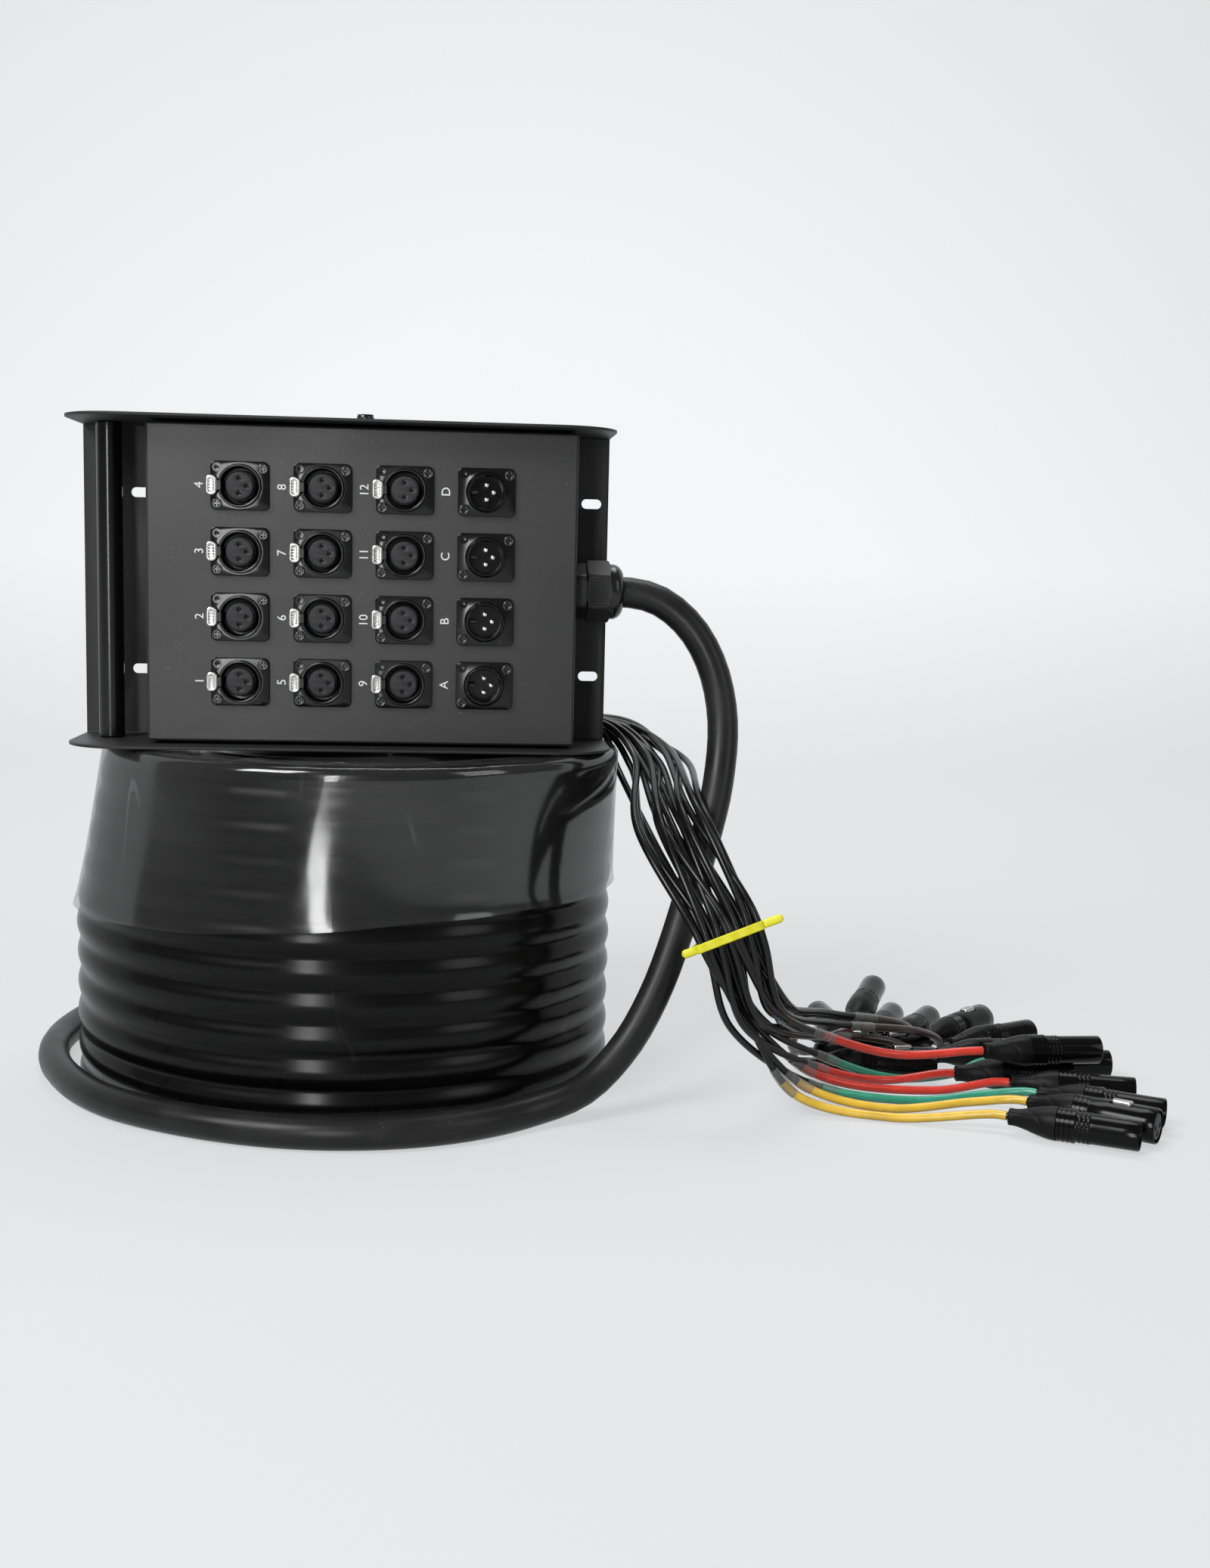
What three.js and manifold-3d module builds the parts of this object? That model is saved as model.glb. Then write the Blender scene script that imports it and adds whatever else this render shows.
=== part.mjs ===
// Stage box with sixteen panel sockets, standing on the wrapped coil of its own multicore cable,
// with sixteen tails and their plugs fanned out beside it.
// Millimetres, +Z up. The origin is on the floor, under the middle of the coil; the sockets face -Y.
import * as THREE from "three";
import { mergeVertices } from "three/addons/utils/BufferGeometryUtils.js";
import Module from "manifold-3d";

const wasm = await Module();
wasm.setup();

// Clearances and shared overruns
const SEAT_GAP = 0.3; // between pieces that touch
const RUNNING_GAP = 0.4; // round a piece that slides
const OVERRUN = 4; // how far a cutter passes the faces that it opens, and a joined piece its seat

// Floor coil and its film
const CABLE_DIAMETER = 17.4;
const TURN_DIAMETER = 16.8; // the winding's cable is a little thinner, so that its loops stay apart
const COIL_OUTER_RADIUS = 152.5; // over the cable
const COIL_HEIGHT = 190.7;
const COIL_LOOPS = 10;
const COIL_LAYERS = 4;
const LOOP_STEPS = 24; // the film and the core have as many sides
const LOOP_SIDES = 6;
const LOOP_START_DEGREES = 30; // where the lead runs into the first loop
const FILM_FOLD_THICKNESS = 0.8;
const FILM_FOLD_WIDTH = 30; // how far the film is folded in over the coil's top and bottom
const FILM_WALL = 0.6;
const FILM_RIB_DEPTH = 1.8;
const FILM_LOOSE_FROM = 100; // above this height the film hangs loose and smooth
const FILM_WAIST = 0.8; // how far the loose band draws in at its middle
const FILM_EDGE = 2.5; // chamfer at the film's top edge, half as wide as it is long
const FILM_ROWS_PER_RIB = 3;
const FILM_SLIT_CLEARANCE = 0.5; // round the lead, where it slips under the film

// Sheet metal of the box
const SHEET = 1.5;
const COVER_FROM_LEFT_END = 44.3; // the chassis shows past the cover at both ends
const COVER_FROM_RIGHT_END = 21.7;
const COVER_HEIGHT = 171;
const COVER_DEPTH = 60;
const COVER_EDGE_ROUND = 1.2;
const COVER_FRONT_Y = -71.8;
const CHEEK_GAP = 1.6; // between the cover and each cheek
const CHEEK_PROUD = 17.5; // how far the cheeks stand in front of the panel
const CHEEK_CORNER_RADIUS = 33;
const CHASSIS_LENGTH = 298;
const CHASSIS_BEND_RADIUS = 2;
const SLOT_LENGTH = 11.5;
const SLOT_WIDTH = 5.5;
const SLOT_END_RADIUS = 2.7;
const SLOT_SPACING = 100;
const SLOT_FROM_RIGHT_END = 9.8;
const SLOT_FROM_LEFT_END = 32;
const COVER_SCREW_HOLE = 4.2;
const COVER_SCREW_FROM_PANEL = 10;
const HOLE_SIDES = 6;
const CURVE_STEPS = 1; // steps in a small round corner
const CHEEK_CURVE_STEPS = 3;

// Carrying bar between the cheeks
const BAR_DIAMETER = 14;
const BAR_FROM_LEFT_END = 19;
const BAR_FROM_BACK_PLATE = 25;
const SPIGOT_DIAMETER = 8;
const BAR_SIDES = 10;

// Panel sockets
const SOCKET_COLUMNS = 4;
const SOCKET_ROWS = 4;
const SOCKET_PITCH_X = 44;
const SOCKET_PITCH_Z = 35;
const SOCKET_SIDES = 10;
const FLANGE_WIDTH = 31;
const FLANGE_HEIGHT = 26;
const FLANGE_CORNER_RADIUS = 3;
const FLANGE_THICKNESS = 2.2;
const BARREL_DIAMETER = 23.4;
const BARREL_DEPTH = 20;
const RING_PROUD = 1.8; // how far a socket's ring stands in front of its flange
const FEMALE_BORE_DIAMETER = 20;
const FEMALE_BORE_DEPTH = 11;
const INSERT_DIAMETER = 14.6;
const INSERT_RECESS = 0.8;
const CONTACT_CIRCLE_RADIUS = 3.9;
const CONTACT_HOLE_DIAMETER = 3;
const CONTACT_HOLE_DEPTH = 8;
const MALE_RING_DIAMETER = 20.6;
const MALE_CUP_DIAMETER = 17.2;
const MALE_CUP_DEPTH = 14;
const PIN_DIAMETER = 2.4;
const PIN_LENGTH = 11;
const CONTACT_SIDES = 4;

// Push latches of the female sockets
const LATCH_WIDTH = 6.4;
const LATCH_HEIGHT = 10.8;
const LATCH_ROUND_RADIUS = 3;
const LATCH_THICKNESS = 1.8;
const LATCH_CENTRE_FROM_AXIS = 14.6;
const LATCH_TRAVEL = 2;
const TONGUE_HEIGHT = 5.2;
const TONGUE_THICKNESS = 2;
const TONGUE_FROM_AXIS = 9.4; // its inner face
const TONGUE_DEPTH = 6.5; // behind the panel's front face

// Cable gland
const GLAND_BODY_FLATS = 28;
const GLAND_BODY_LENGTH = 6.9;
const GLAND_THREAD_DIAMETER = 24.5;
const GLAND_THREAD_INSIDE = 9;
const GLAND_NUT_FLATS = 31;
const GLAND_NUT_LENGTH = 13.2;
const GLAND_DOME_LENGTH = 7.4;
const GLAND_DOME_DIAMETER = 31;
const GLAND_DOME_SHOULDER_DIAMETER = 29;
const GLAND_DOME_MOUTH_DIAMETER = 22;
const GLAND_BORE_CLEARANCE = 0.9;
const GLAND_SIDES = 12;
const HEXAGON_SIDES = 6;

// Wiring inside the box
const LOOM_FROM_SOCKETS = 9; // how far behind the sockets the loom's rows lie
const LOOM_ROW_DIAMETER = 7;
const LOOM_BRANCH_DIAMETER = 4;
const LOOM_SPINE_DIAMETER = 12;
const LOOM_SIDES = 4;

// Tails, breakout boot and strap
const TAIL_DIAMETER = 4;
const TAIL_PITCH = 4.4;
const TAIL_SIDES = 8;
const TAIL_LANES = 8; // side by side under the strap
const TAIL_ROWS = 2;
const CABLE_SIDES = 8;
const BOOT_LENGTH = 34;
const BOOT_MOUTH_HEIGHT = 13;
const BOOT_MOUTH_WIDTH = 41;
const TIE_WIDTH = 4.8;
const TIE_THICKNESS = 1.4;
const TIE_CORNER_RADIUS = 1.6;
const TIE_END_LENGTH = 9;
const TIE_END_THICKNESS = 2.8;

// Plugs on the tails
const PLUG_SIDES = 8;
const PLUG_BOOT_END_DIAMETER = 9.6;
const PLUG_BOOT_LENGTH = 24;
const MALE_PLUG_LENGTH = 68;
const MALE_PLUG_DIAMETER = 18;
const MALE_PLUG_COLLAR_END = 35; // from the plug's rear end
const MALE_PLUG_BARREL_DIAMETER = 16;
const MALE_PLUG_CUP_DIAMETER = 14.2;
const MALE_PLUG_CUP_DEPTH = 14;
const FEMALE_PLUG_LENGTH = 70;
const FEMALE_PLUG_DIAMETER = 19;
const FEMALE_PLUG_GROOVE_OUTER_DIAMETER = 17;
const FEMALE_PLUG_GROOVE_INNER_DIAMETER = 14.6;
const FEMALE_PLUG_GROOVE_DEPTH = 10;
const PLUG_LATCH_LENGTH = 11;
const PLUG_LATCH_WIDTH = 5.6;
const PLUG_LATCH_HEIGHT = 3.2;
const PLUG_LATCH_PROUD = 1.2;
const PLUG_LATCH_TRAVEL = 1;
const PLUG_LATCH_FROM_MOUTH = 14;
const PLUG_ENTRY = 8; // straight run of a tail into its plug

// Finishes
const finish = (color, roughness, metalness = 0) =>
  new THREE.MeshStandardMaterial({ color, roughness, metalness });
const POWDER_COAT = finish(0x2b2b2c, 0.62, 0.3);
const BAR_COAT = finish(0x1a1a1b, 0.34, 0.3);
const SOCKET_BLACK = finish(0x17181a, 0.36);
const LATCH_NICKEL = finish(0xc9c9c6, 0.28, 1);
const GLAND_NYLON = finish(0x242526, 0.46);
const JACKET_BLACK = finish(0x161616, 0.5);
const TAIL_BLACK = finish(0x121212, 0.42);
const LOOM_GREY = finish(0x3a3a3a, 0.6);
const FILM_CLEAR = finish(0x3c3c3d, 0.18);
const TIE_YELLOW = finish(0xe6e02a, 0.4);
const PLUG_BLACK = finish(0x18181a, 0.4);

const stageBox = new THREE.Group();

// A closed geometry as a solid that can be joined and cut.
function solid(geometry) {
  const bare = geometry.clone();
  bare.deleteAttribute("normal");
  bare.deleteAttribute("uv");
  const merged = mergeVertices(bare, 1e-4);
  const vertProperties = new Float32Array(merged.attributes.position.array);
  const triVerts = new Uint32Array(merged.index.array);
  return new wasm.Manifold(new wasm.Mesh({ numProp: 3, vertProperties, triVerts }));
}

// A solid back as a three.js geometry.
function geometryOf(manifold) {
  const mesh = manifold.getMesh();
  const geometry = new THREE.BufferGeometry();
  geometry.setAttribute("position", new THREE.BufferAttribute(new Float32Array(mesh.vertProperties), 3));
  geometry.setIndex(new THREE.BufferAttribute(new Uint32Array(mesh.triVerts), 1));
  geometry.computeVertexNormals();
  return geometry;
}

// Adds one named piece to the stage box, or to a group of it.
function piece(name, manifold, material, parent = stageBox) {
  const mesh = new THREE.Mesh(geometryOf(manifold), material.clone());
  mesh.name = name;
  parent.add(mesh);
  return mesh;
}

// A group at a place of its own.
function groupAt(x, y, z) {
  const group = new THREE.Group();
  group.position.set(x, y, z);
  stageBox.add(group);
  return group;
}

// A block between two planes on each axis.
function block([x0, x1], [y0, y1], [z0, z1]) {
  const geometry = new THREE.BoxGeometry(x1 - x0, y1 - y0, z1 - z0);
  geometry.translate((x0 + x1) / 2, (y0 + y1) / 2, (z0 + z1) / 2);
  return solid(geometry);
}

// Round rods along each axis, between two planes; the next two numbers place them on the other axes.
const cylinder = (diameter, from, to, sides) =>
  new THREE.CylinderGeometry(diameter / 2, diameter / 2, to - from, sides).translate(0, (from + to) / 2, 0);
const rodX = (diameter, [from, to], y, z, sides) =>
  solid(cylinder(diameter, from, to, sides).rotateZ(-Math.PI / 2).translate(0, y, z));
const rodY = (diameter, [from, to], x, z, sides) =>
  solid(cylinder(diameter, from, to, sides).translate(x, 0, z));
const rodZ = (diameter, [from, to], x, y, sides) =>
  solid(cylinder(diameter, from, to, sides).rotateX(Math.PI / 2).translate(x, y, 0));

// A piece turned about the X axis: its outline is a list of radius and place along X.
function turned(outline, sides) {
  const points = outline.map(([radius, along]) => new THREE.Vector2(radius, along));
  return solid(new THREE.LatheGeometry(points, sides).rotateZ(-Math.PI / 2));
}

// The outline of a rectangle with round corners, about its middle.
function roundRectangle(width, height, radius) {
  const shape = new THREE.Shape();
  const x = width / 2 - radius;
  const y = height / 2 - radius;
  shape.moveTo(x, -y - radius);
  shape.absarc(x, -y, radius, -Math.PI / 2, 0);
  shape.absarc(x, y, radius, 0, Math.PI / 2);
  shape.absarc(-x, y, radius, Math.PI / 2, Math.PI);
  shape.absarc(-x, -y, radius, Math.PI, Math.PI * 1.5);
  return shape;
}

// An outline in X and Z, carried along Y between two planes.
function plate(shape, [y0, y1]) {
  const depth = y1 - y0;
  const options = { depth, bevelEnabled: false, curveSegments: CURVE_STEPS };
  return solid(new THREE.ExtrudeGeometry(shape, options).rotateX(Math.PI / 2).translate(0, y1, 0));
}

// A smooth route through points, with one ring of a tube at each of them.
class Route extends THREE.CatmullRomCurve3 {
  constructor(points) {
    super(points, false, "centripetal");
  }
  getPointAt(t, target) {
    return this.getPoint(t, target);
  }
  getTangentAt(t, target) {
    return this.getTangent(t, target);
  }
}

// A round cable along points.
function tube(points, diameter, sides) {
  const ring = [];
  for (let i = 0; i < sides; i += 1) {
    const angle = (2 * Math.PI * i) / sides;
    ring.push(new THREE.Vector2(Math.cos(angle), Math.sin(angle)).multiplyScalar(diameter / 2));
  }
  const options = { steps: points.length - 1, extrudePath: new Route(points), bevelEnabled: false };
  return solid(new THREE.ExtrudeGeometry(new THREE.Shape(ring), options));
}

const vector = (point) => new THREE.Vector3(...point);

// Heights and places that follow from the sizes
const filmTop = COIL_HEIGHT + 2 * (FILM_FOLD_THICKNESS + SEAT_GAP);
const chassisBottom = filmTop + SEAT_GAP;
const coverBottom = chassisBottom + SHEET + CHEEK_GAP;
const coverTop = coverBottom + COVER_HEIGHT;
const coverMiddleZ = (coverBottom + coverTop) / 2;
const chassisTop = coverTop + CHEEK_GAP + SHEET;
const chassisEndX = CHASSIS_LENGTH / 2;
const backPlateY = COVER_FRONT_Y + COVER_DEPTH;
const chassisBackY = backPlateY + SHEET;
const cheekFrontY = COVER_FRONT_Y - CHEEK_PROUD;
const coverLeft = COVER_FROM_LEFT_END - chassisEndX;
const coverRight = chassisEndX - COVER_FROM_RIGHT_END;
const coverMiddleX = (coverLeft + coverRight) / 2;
const glandY = COVER_FRONT_Y + COVER_DEPTH / 2;
const throughBox = [chassisBottom - OVERRUN, chassisTop + OVERRUN];

// The chassis seen from its end: a back plate and two cheeks, open towards the front.
function chassisSection() {
  const radius = CHASSIS_BEND_RADIUS;
  const bendY = chassisBackY - radius;
  const section = new THREE.Shape();
  section.moveTo(cheekFrontY, chassisBottom + SHEET);
  section.lineTo(cheekFrontY, chassisBottom);
  section.absarc(bendY, chassisBottom + radius, radius, -Math.PI / 2, 0);
  section.absarc(bendY, chassisTop - radius, radius, 0, Math.PI / 2);
  section.lineTo(cheekFrontY, chassisTop);
  section.lineTo(cheekFrontY, chassisTop - SHEET);
  section.lineTo(backPlateY, chassisTop - SHEET);
  section.lineTo(backPlateY, chassisBottom + SHEET);
  return section;
}

// The chassis seen from above, with the cheeks' round front corners.
function chassisPlan() {
  const radius = CHEEK_CORNER_RADIUS;
  const cornerX = chassisEndX - radius;
  const cornerY = cheekFrontY + radius;
  const plan = new THREE.Shape();
  plan.moveTo(chassisEndX, chassisBackY + OVERRUN);
  plan.lineTo(-chassisEndX, chassisBackY + OVERRUN);
  plan.absarc(-cornerX, cornerY, radius, Math.PI, Math.PI * 1.5);
  plan.absarc(cornerX, cornerY, radius, -Math.PI / 2, 0);
  return plan;
}

function chassis() {
  const section = { depth: CHASSIS_LENGTH, bevelEnabled: false, curveSegments: CURVE_STEPS };
  const folded = new THREE.ExtrudeGeometry(chassisSection(), section);
  folded.rotateZ(Math.PI / 2).rotateY(Math.PI / 2).translate(-chassisEndX, 0, 0);
  const depth = throughBox[1] - throughBox[0];
  const plan = { depth, bevelEnabled: false, curveSegments: CHEEK_CURVE_STEPS };
  const outline = new THREE.ExtrudeGeometry(chassisPlan(), plan).translate(0, 0, throughBox[0]);
  let body = solid(folded).intersect(solid(outline));
  const slot = plate(roundRectangle(SLOT_LENGTH, SLOT_WIDTH, SLOT_END_RADIUS), [
    backPlateY - OVERRUN,
    chassisBackY + OVERRUN,
  ]);
  for (const x of [SLOT_FROM_LEFT_END - chassisEndX, chassisEndX - SLOT_FROM_RIGHT_END]) {
    for (const side of [-1, 1]) {
      body = body.subtract(slot.translate([x, 0, coverMiddleZ + (side * SLOT_SPACING) / 2]));
    }
  }
  const screwY = COVER_FRONT_Y + COVER_SCREW_FROM_PANEL;
  body = body.subtract(rodZ(COVER_SCREW_HOLE, throughBox, coverMiddleX, screwY, HOLE_SIDES));
  const spigotHole = SPIGOT_DIAMETER + 2 * SEAT_GAP;
  const barX = BAR_FROM_LEFT_END - chassisEndX;
  return body.subtract(rodZ(spigotHole, throughBox, barX, backPlateY - BAR_FROM_BACK_PLATE, BAR_SIDES));
}

// Where the sockets sit: columns of numbered inputs, then one of lettered returns.
function socketPlaces() {
  const places = [];
  for (let column = 0; column < SOCKET_COLUMNS; column += 1) {
    for (let row = 0; row < SOCKET_ROWS; row += 1) {
      const isReturn = column === SOCKET_COLUMNS - 1;
      const number = column * SOCKET_ROWS + SOCKET_ROWS - row;
      const label = isReturn ? "DCBA"[row] : String(number);
      const x = coverMiddleX + (column - (SOCKET_COLUMNS - 1) / 2) * SOCKET_PITCH_X;
      const z = coverMiddleZ + ((SOCKET_ROWS - 1) / 2 - row) * SOCKET_PITCH_Z;
      places.push({ label, isReturn, x, z });
    }
  }
  return places;
}

// Cover: socket panel and four walls in one folded tray, open at the back.
function cover() {
  const edge = COVER_EDGE_ROUND;
  const back = backPlateY - SEAT_GAP;
  const outline = roundRectangle(coverRight - coverLeft - 2 * edge, COVER_HEIGHT - 2 * edge, edge);
  const shell = new THREE.ExtrudeGeometry(outline, {
    depth: COVER_DEPTH,
    bevelThickness: edge,
    bevelSize: edge,
    bevelSegments: CURVE_STEPS,
    curveSegments: CURVE_STEPS,
  });
  shell.rotateX(-Math.PI / 2).translate(coverMiddleX, COVER_FRONT_Y + edge, coverMiddleZ);
  const acrossBox = [coverLeft - OVERRUN, coverRight + OVERRUN];
  let body = solid(shell).intersect(block(acrossBox, [COVER_FRONT_Y - OVERRUN, back], throughBox));
  const insideX = [coverLeft + SHEET, coverRight - SHEET];
  const insideZ = [coverBottom + SHEET, coverTop - SHEET];
  body = body.subtract(block(insideX, [COVER_FRONT_Y + SHEET, back + OVERRUN], insideZ));
  const throughPanel = [COVER_FRONT_Y - OVERRUN, COVER_FRONT_Y + SHEET + OVERRUN];
  for (const { x, z } of socketPlaces()) {
    body = body.subtract(rodY(BARREL_DIAMETER + 2 * RUNNING_GAP, throughPanel, x, z, SOCKET_SIDES));
  }
  const throughWall = [coverRight - SHEET - OVERRUN, coverRight + OVERRUN];
  const glandHole = GLAND_THREAD_DIAMETER + 2 * SEAT_GAP;
  body = body.subtract(rodX(glandHole, throughWall, glandY, coverMiddleZ, GLAND_SIDES));
  const screwY = COVER_FRONT_Y + COVER_SCREW_FROM_PANEL;
  return body.subtract(rodZ(COVER_SCREW_HOLE, throughBox, coverMiddleX, screwY, HOLE_SIDES));
}

// Steel bar between the cheeks, with a spigot through each of them.
function carryingBar() {
  const inside = [chassisBottom + SHEET + SEAT_GAP, chassisTop - SHEET - SEAT_GAP];
  const bar = rodZ(BAR_DIAMETER, inside, 0, 0, BAR_SIDES);
  return bar.add(rodZ(SPIGOT_DIAMETER, [chassisBottom, chassisTop], 0, 0, BAR_SIDES));
}

// Three contacts on a circle, at angles from the first axis towards the second.
function contacts(degrees) {
  return degrees.map((value) => {
    const angle = THREE.MathUtils.degToRad(value);
    return [CONTACT_CIRCLE_RADIUS * Math.cos(angle), CONTACT_CIRCLE_RADIUS * Math.sin(angle)];
  });
}
const SOCKET_CONTACT_DEGREES = [90, 0, -90]; // above, right of and below the middle
const PLUG_CONTACT_DEGREES = [-90, 0, 180]; // below and beside the middle

// Sockets stand at the panel's front face, at y = 0 in their own group.
const flangeFront = -SEAT_GAP - FLANGE_THICKNESS;
const ringFront = flangeFront - RING_PROUD;

// Mounting flange and rear barrel, which both kinds of socket share.
function socketBase() {
  const outline = roundRectangle(FLANGE_WIDTH, FLANGE_HEIGHT, FLANGE_CORNER_RADIUS);
  return plate(outline, [flangeFront, -SEAT_GAP]).add(
    rodY(BARREL_DIAMETER, [flangeFront + FLANGE_THICKNESS / 2, BARREL_DEPTH], 0, 0, SOCKET_SIDES),
  );
}

function femaleSocket() {
  const bottom = ringFront + FEMALE_BORE_DEPTH;
  const insertFront = ringFront + INSERT_RECESS;
  let body = socketBase().add(rodY(BARREL_DIAMETER, [ringFront, 0], 0, 0, SOCKET_SIDES));
  body = body.subtract(rodY(FEMALE_BORE_DIAMETER, [ringFront - OVERRUN, bottom], 0, 0, SOCKET_SIDES));
  body = body.add(rodY(INSERT_DIAMETER, [insertFront, bottom + OVERRUN], 0, 0, SOCKET_SIDES));
  const holeDepth = [ringFront - OVERRUN, insertFront + CONTACT_HOLE_DEPTH];
  for (const [x, z] of contacts(SOCKET_CONTACT_DEGREES)) {
    body = body.subtract(rodY(CONTACT_HOLE_DIAMETER, holeDepth, x, z, CONTACT_SIDES));
  }
  const pocketX = [-BARREL_DIAMETER / 2 - RUNNING_GAP, RUNNING_GAP - TONGUE_FROM_AXIS];
  const pocketY = [ringFront - OVERRUN, TONGUE_DEPTH + LATCH_TRAVEL + RUNNING_GAP];
  const pocketHalf = TONGUE_HEIGHT / 2 + RUNNING_GAP;
  return body.subtract(block(pocketX, pocketY, [-pocketHalf, pocketHalf]));
}

function maleSocket() {
  const bottom = ringFront + MALE_CUP_DEPTH;
  let body = socketBase().add(rodY(MALE_RING_DIAMETER, [ringFront, 0], 0, 0, SOCKET_SIDES));
  body = body.subtract(rodY(MALE_CUP_DIAMETER, [ringFront - OVERRUN, bottom], 0, 0, SOCKET_SIDES));
  for (const [x, z] of contacts(SOCKET_CONTACT_DEGREES)) {
    body = body.add(rodY(PIN_DIAMETER, [bottom - PIN_LENGTH, bottom + SEAT_GAP], x, z, CONTACT_SIDES));
  }
  return body;
}

// Push latch: an oval cap in front of the flange and a tongue that reaches into the socket.
function socketLatch() {
  const back = flangeFront - LATCH_TRAVEL - RUNNING_GAP;
  const front = back - LATCH_THICKNESS;
  const capShape = roundRectangle(LATCH_WIDTH, LATCH_HEIGHT, LATCH_ROUND_RADIUS);
  const cap = plate(capShape, [front, back]).translate([-LATCH_CENTRE_FROM_AXIS, 0, 0]);
  const neckY = [front + LATCH_THICKNESS / 4, back];
  const across = [-TONGUE_HEIGHT / 2, TONGUE_HEIGHT / 2];
  const neck = block([-LATCH_CENTRE_FROM_AXIS, -TONGUE_FROM_AXIS], neckY, across);
  const tongueX = [-TONGUE_FROM_AXIS - TONGUE_THICKNESS, -TONGUE_FROM_AXIS];
  return cap.add(neck).add(block(tongueX, [neckY[0], TONGUE_DEPTH], across));
}

// Places along the gland, in X
const glandBodyStart = coverRight + SEAT_GAP;
const glandThreadStart = coverRight - SHEET - GLAND_THREAD_INSIDE;
const glandNutStart = glandBodyStart + GLAND_BODY_LENGTH + SEAT_GAP;
const glandDomeStart = glandNutStart + GLAND_NUT_LENGTH;
const glandEnd = glandDomeStart + GLAND_DOME_LENGTH;
const leadStart = glandBodyStart - SHEET / 2;

// A hexagon's size over its corners, from its size over its flats.
const overCorners = (flats) => flats / Math.cos(Math.PI / HEXAGON_SIDES);

function glandBore() {
  const length = [glandThreadStart - OVERRUN, glandEnd + OVERRUN];
  return rodX(CABLE_DIAMETER + GLAND_BORE_CLEARANCE, length, 0, 0, GLAND_SIDES);
}

function glandBody() {
  const end = glandBodyStart + GLAND_BODY_LENGTH;
  const hexagon = rodX(overCorners(GLAND_BODY_FLATS), [glandBodyStart, end], 0, 0, HEXAGON_SIDES);
  const thread = rodX(GLAND_THREAD_DIAMETER, [glandThreadStart, end - OVERRUN], 0, 0, GLAND_SIDES);
  return hexagon.add(thread).subtract(glandBore());
}

function glandNut() {
  const hexagon = rodX(overCorners(GLAND_NUT_FLATS), [glandNutStart, glandDomeStart], 0, 0, HEXAGON_SIDES);
  const dome = turned(
    [
      [0, glandDomeStart - OVERRUN],
      [GLAND_DOME_DIAMETER / 2, glandDomeStart - OVERRUN],
      [GLAND_DOME_DIAMETER / 2, glandDomeStart + GLAND_DOME_LENGTH / 3],
      [GLAND_DOME_SHOULDER_DIAMETER / 2, glandEnd - GLAND_DOME_LENGTH / 3],
      [GLAND_DOME_MOUTH_DIAMETER / 2, glandEnd],
      [0, glandEnd],
    ],
    GLAND_SIDES,
  );
  return hexagon.add(dome).subtract(glandBore());
}

// Wiring loom: in through the gland to a spine, a row along each line of sockets, a branch to each socket.
function loom() {
  const places = socketPlaces();
  const socketsBackY = COVER_FRONT_Y + BARREL_DEPTH;
  const loomY = socketsBackY + LOOM_FROM_SOCKETS;
  const spineX = glandThreadStart - LOOM_SPINE_DIAMETER;
  const leftX = Math.min(...places.map(({ x }) => x)) - LOOM_ROW_DIAMETER / 2;
  const heights = [...new Set(places.map(({ z }) => z))];
  const spineReach = LOOM_SPINE_DIAMETER / 2;
  const spine = [Math.min(...heights) - spineReach, Math.max(...heights) + spineReach];
  const entry = [
    [leadStart - SEAT_GAP, glandY, coverMiddleZ],
    [glandThreadStart, glandY, coverMiddleZ],
    [spineX, loomY, coverMiddleZ],
  ].map(vector);
  let body = rodZ(LOOM_SPINE_DIAMETER, spine, spineX, loomY, LOOM_SIDES);
  body = body.add(tube(entry, LOOM_SPINE_DIAMETER, LOOM_SIDES));
  for (const z of heights) body = body.add(rodX(LOOM_ROW_DIAMETER, [leftX, spineX], loomY, z, LOOM_SIDES));
  for (const { x, z } of places) {
    body = body.add(rodY(LOOM_BRANCH_DIAMETER, [socketsBackY + SEAT_GAP, loomY], x, z, LOOM_SIDES));
  }
  return body;
}

// Coil sizes that follow
const coilBottom = FILM_FOLD_THICKNESS + SEAT_GAP;
const coilTop = coilBottom + COIL_HEIGHT;
const loopRadius = COIL_OUTER_RADIUS - TURN_DIAMETER / 2;
const loopPitch = (COIL_HEIGHT - TURN_DIAMETER) / COIL_LOOPS;
const firstLoopZ = coilBottom + TURN_DIAMETER / 2;
const loopStartAngle = THREE.MathUtils.degToRad(LOOP_START_DEGREES);
const coreOuterRadius = loopRadius - CABLE_DIAMETER / 2 - SEAT_GAP;
const coreInnerRadius = coreOuterRadius - (COIL_LAYERS - 1) * CABLE_DIAMETER;
const filmInnerRadius = COIL_OUTER_RADIUS + 2 * SEAT_GAP;
const filmFoldRadius = filmInnerRadius - FILM_FOLD_WIDTH;
const filmValleyRadius = filmInnerRadius + FILM_WALL;
const filmCrestRadius = filmValleyRadius + FILM_RIB_DEPTH;

// Core of the coil: the inner layers, which the outer layer and the film hide.
function coilCore() {
  const outline = [
    [coreInnerRadius, coilBottom],
    [coreOuterRadius, coilBottom],
    [coreOuterRadius, coilTop],
    [coreInnerRadius, coilTop],
    [coreInnerRadius, coilBottom],
  ];
  const points = outline.map(([radius, z]) => new THREE.Vector2(radius, z));
  return solid(new THREE.LatheGeometry(points, LOOP_STEPS).rotateX(Math.PI / 2));
}

// A point further on in the line from one point to another.
const straightOn = (from, to, length) => to.clone().sub(from).setLength(length).add(to);

// Centre number i of the helix, which rises clockwise seen from above; its loops have straight steps.
function loopCentre(i) {
  const angle = loopStartAngle - (2 * Math.PI * i) / LOOP_STEPS;
  const z = firstLoopZ + (loopPitch * i) / LOOP_STEPS;
  return new THREE.Vector3(loopRadius * Math.cos(angle), loopRadius * Math.sin(angle), z);
}

// A level straight end from one centre towards the next step's.
const levelEnd = (centre, next) => {
  const step = next.clone().sub(centre).setZ(0).setLength(TURN_DIAMETER);
  return step.add(centre);
};

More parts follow.
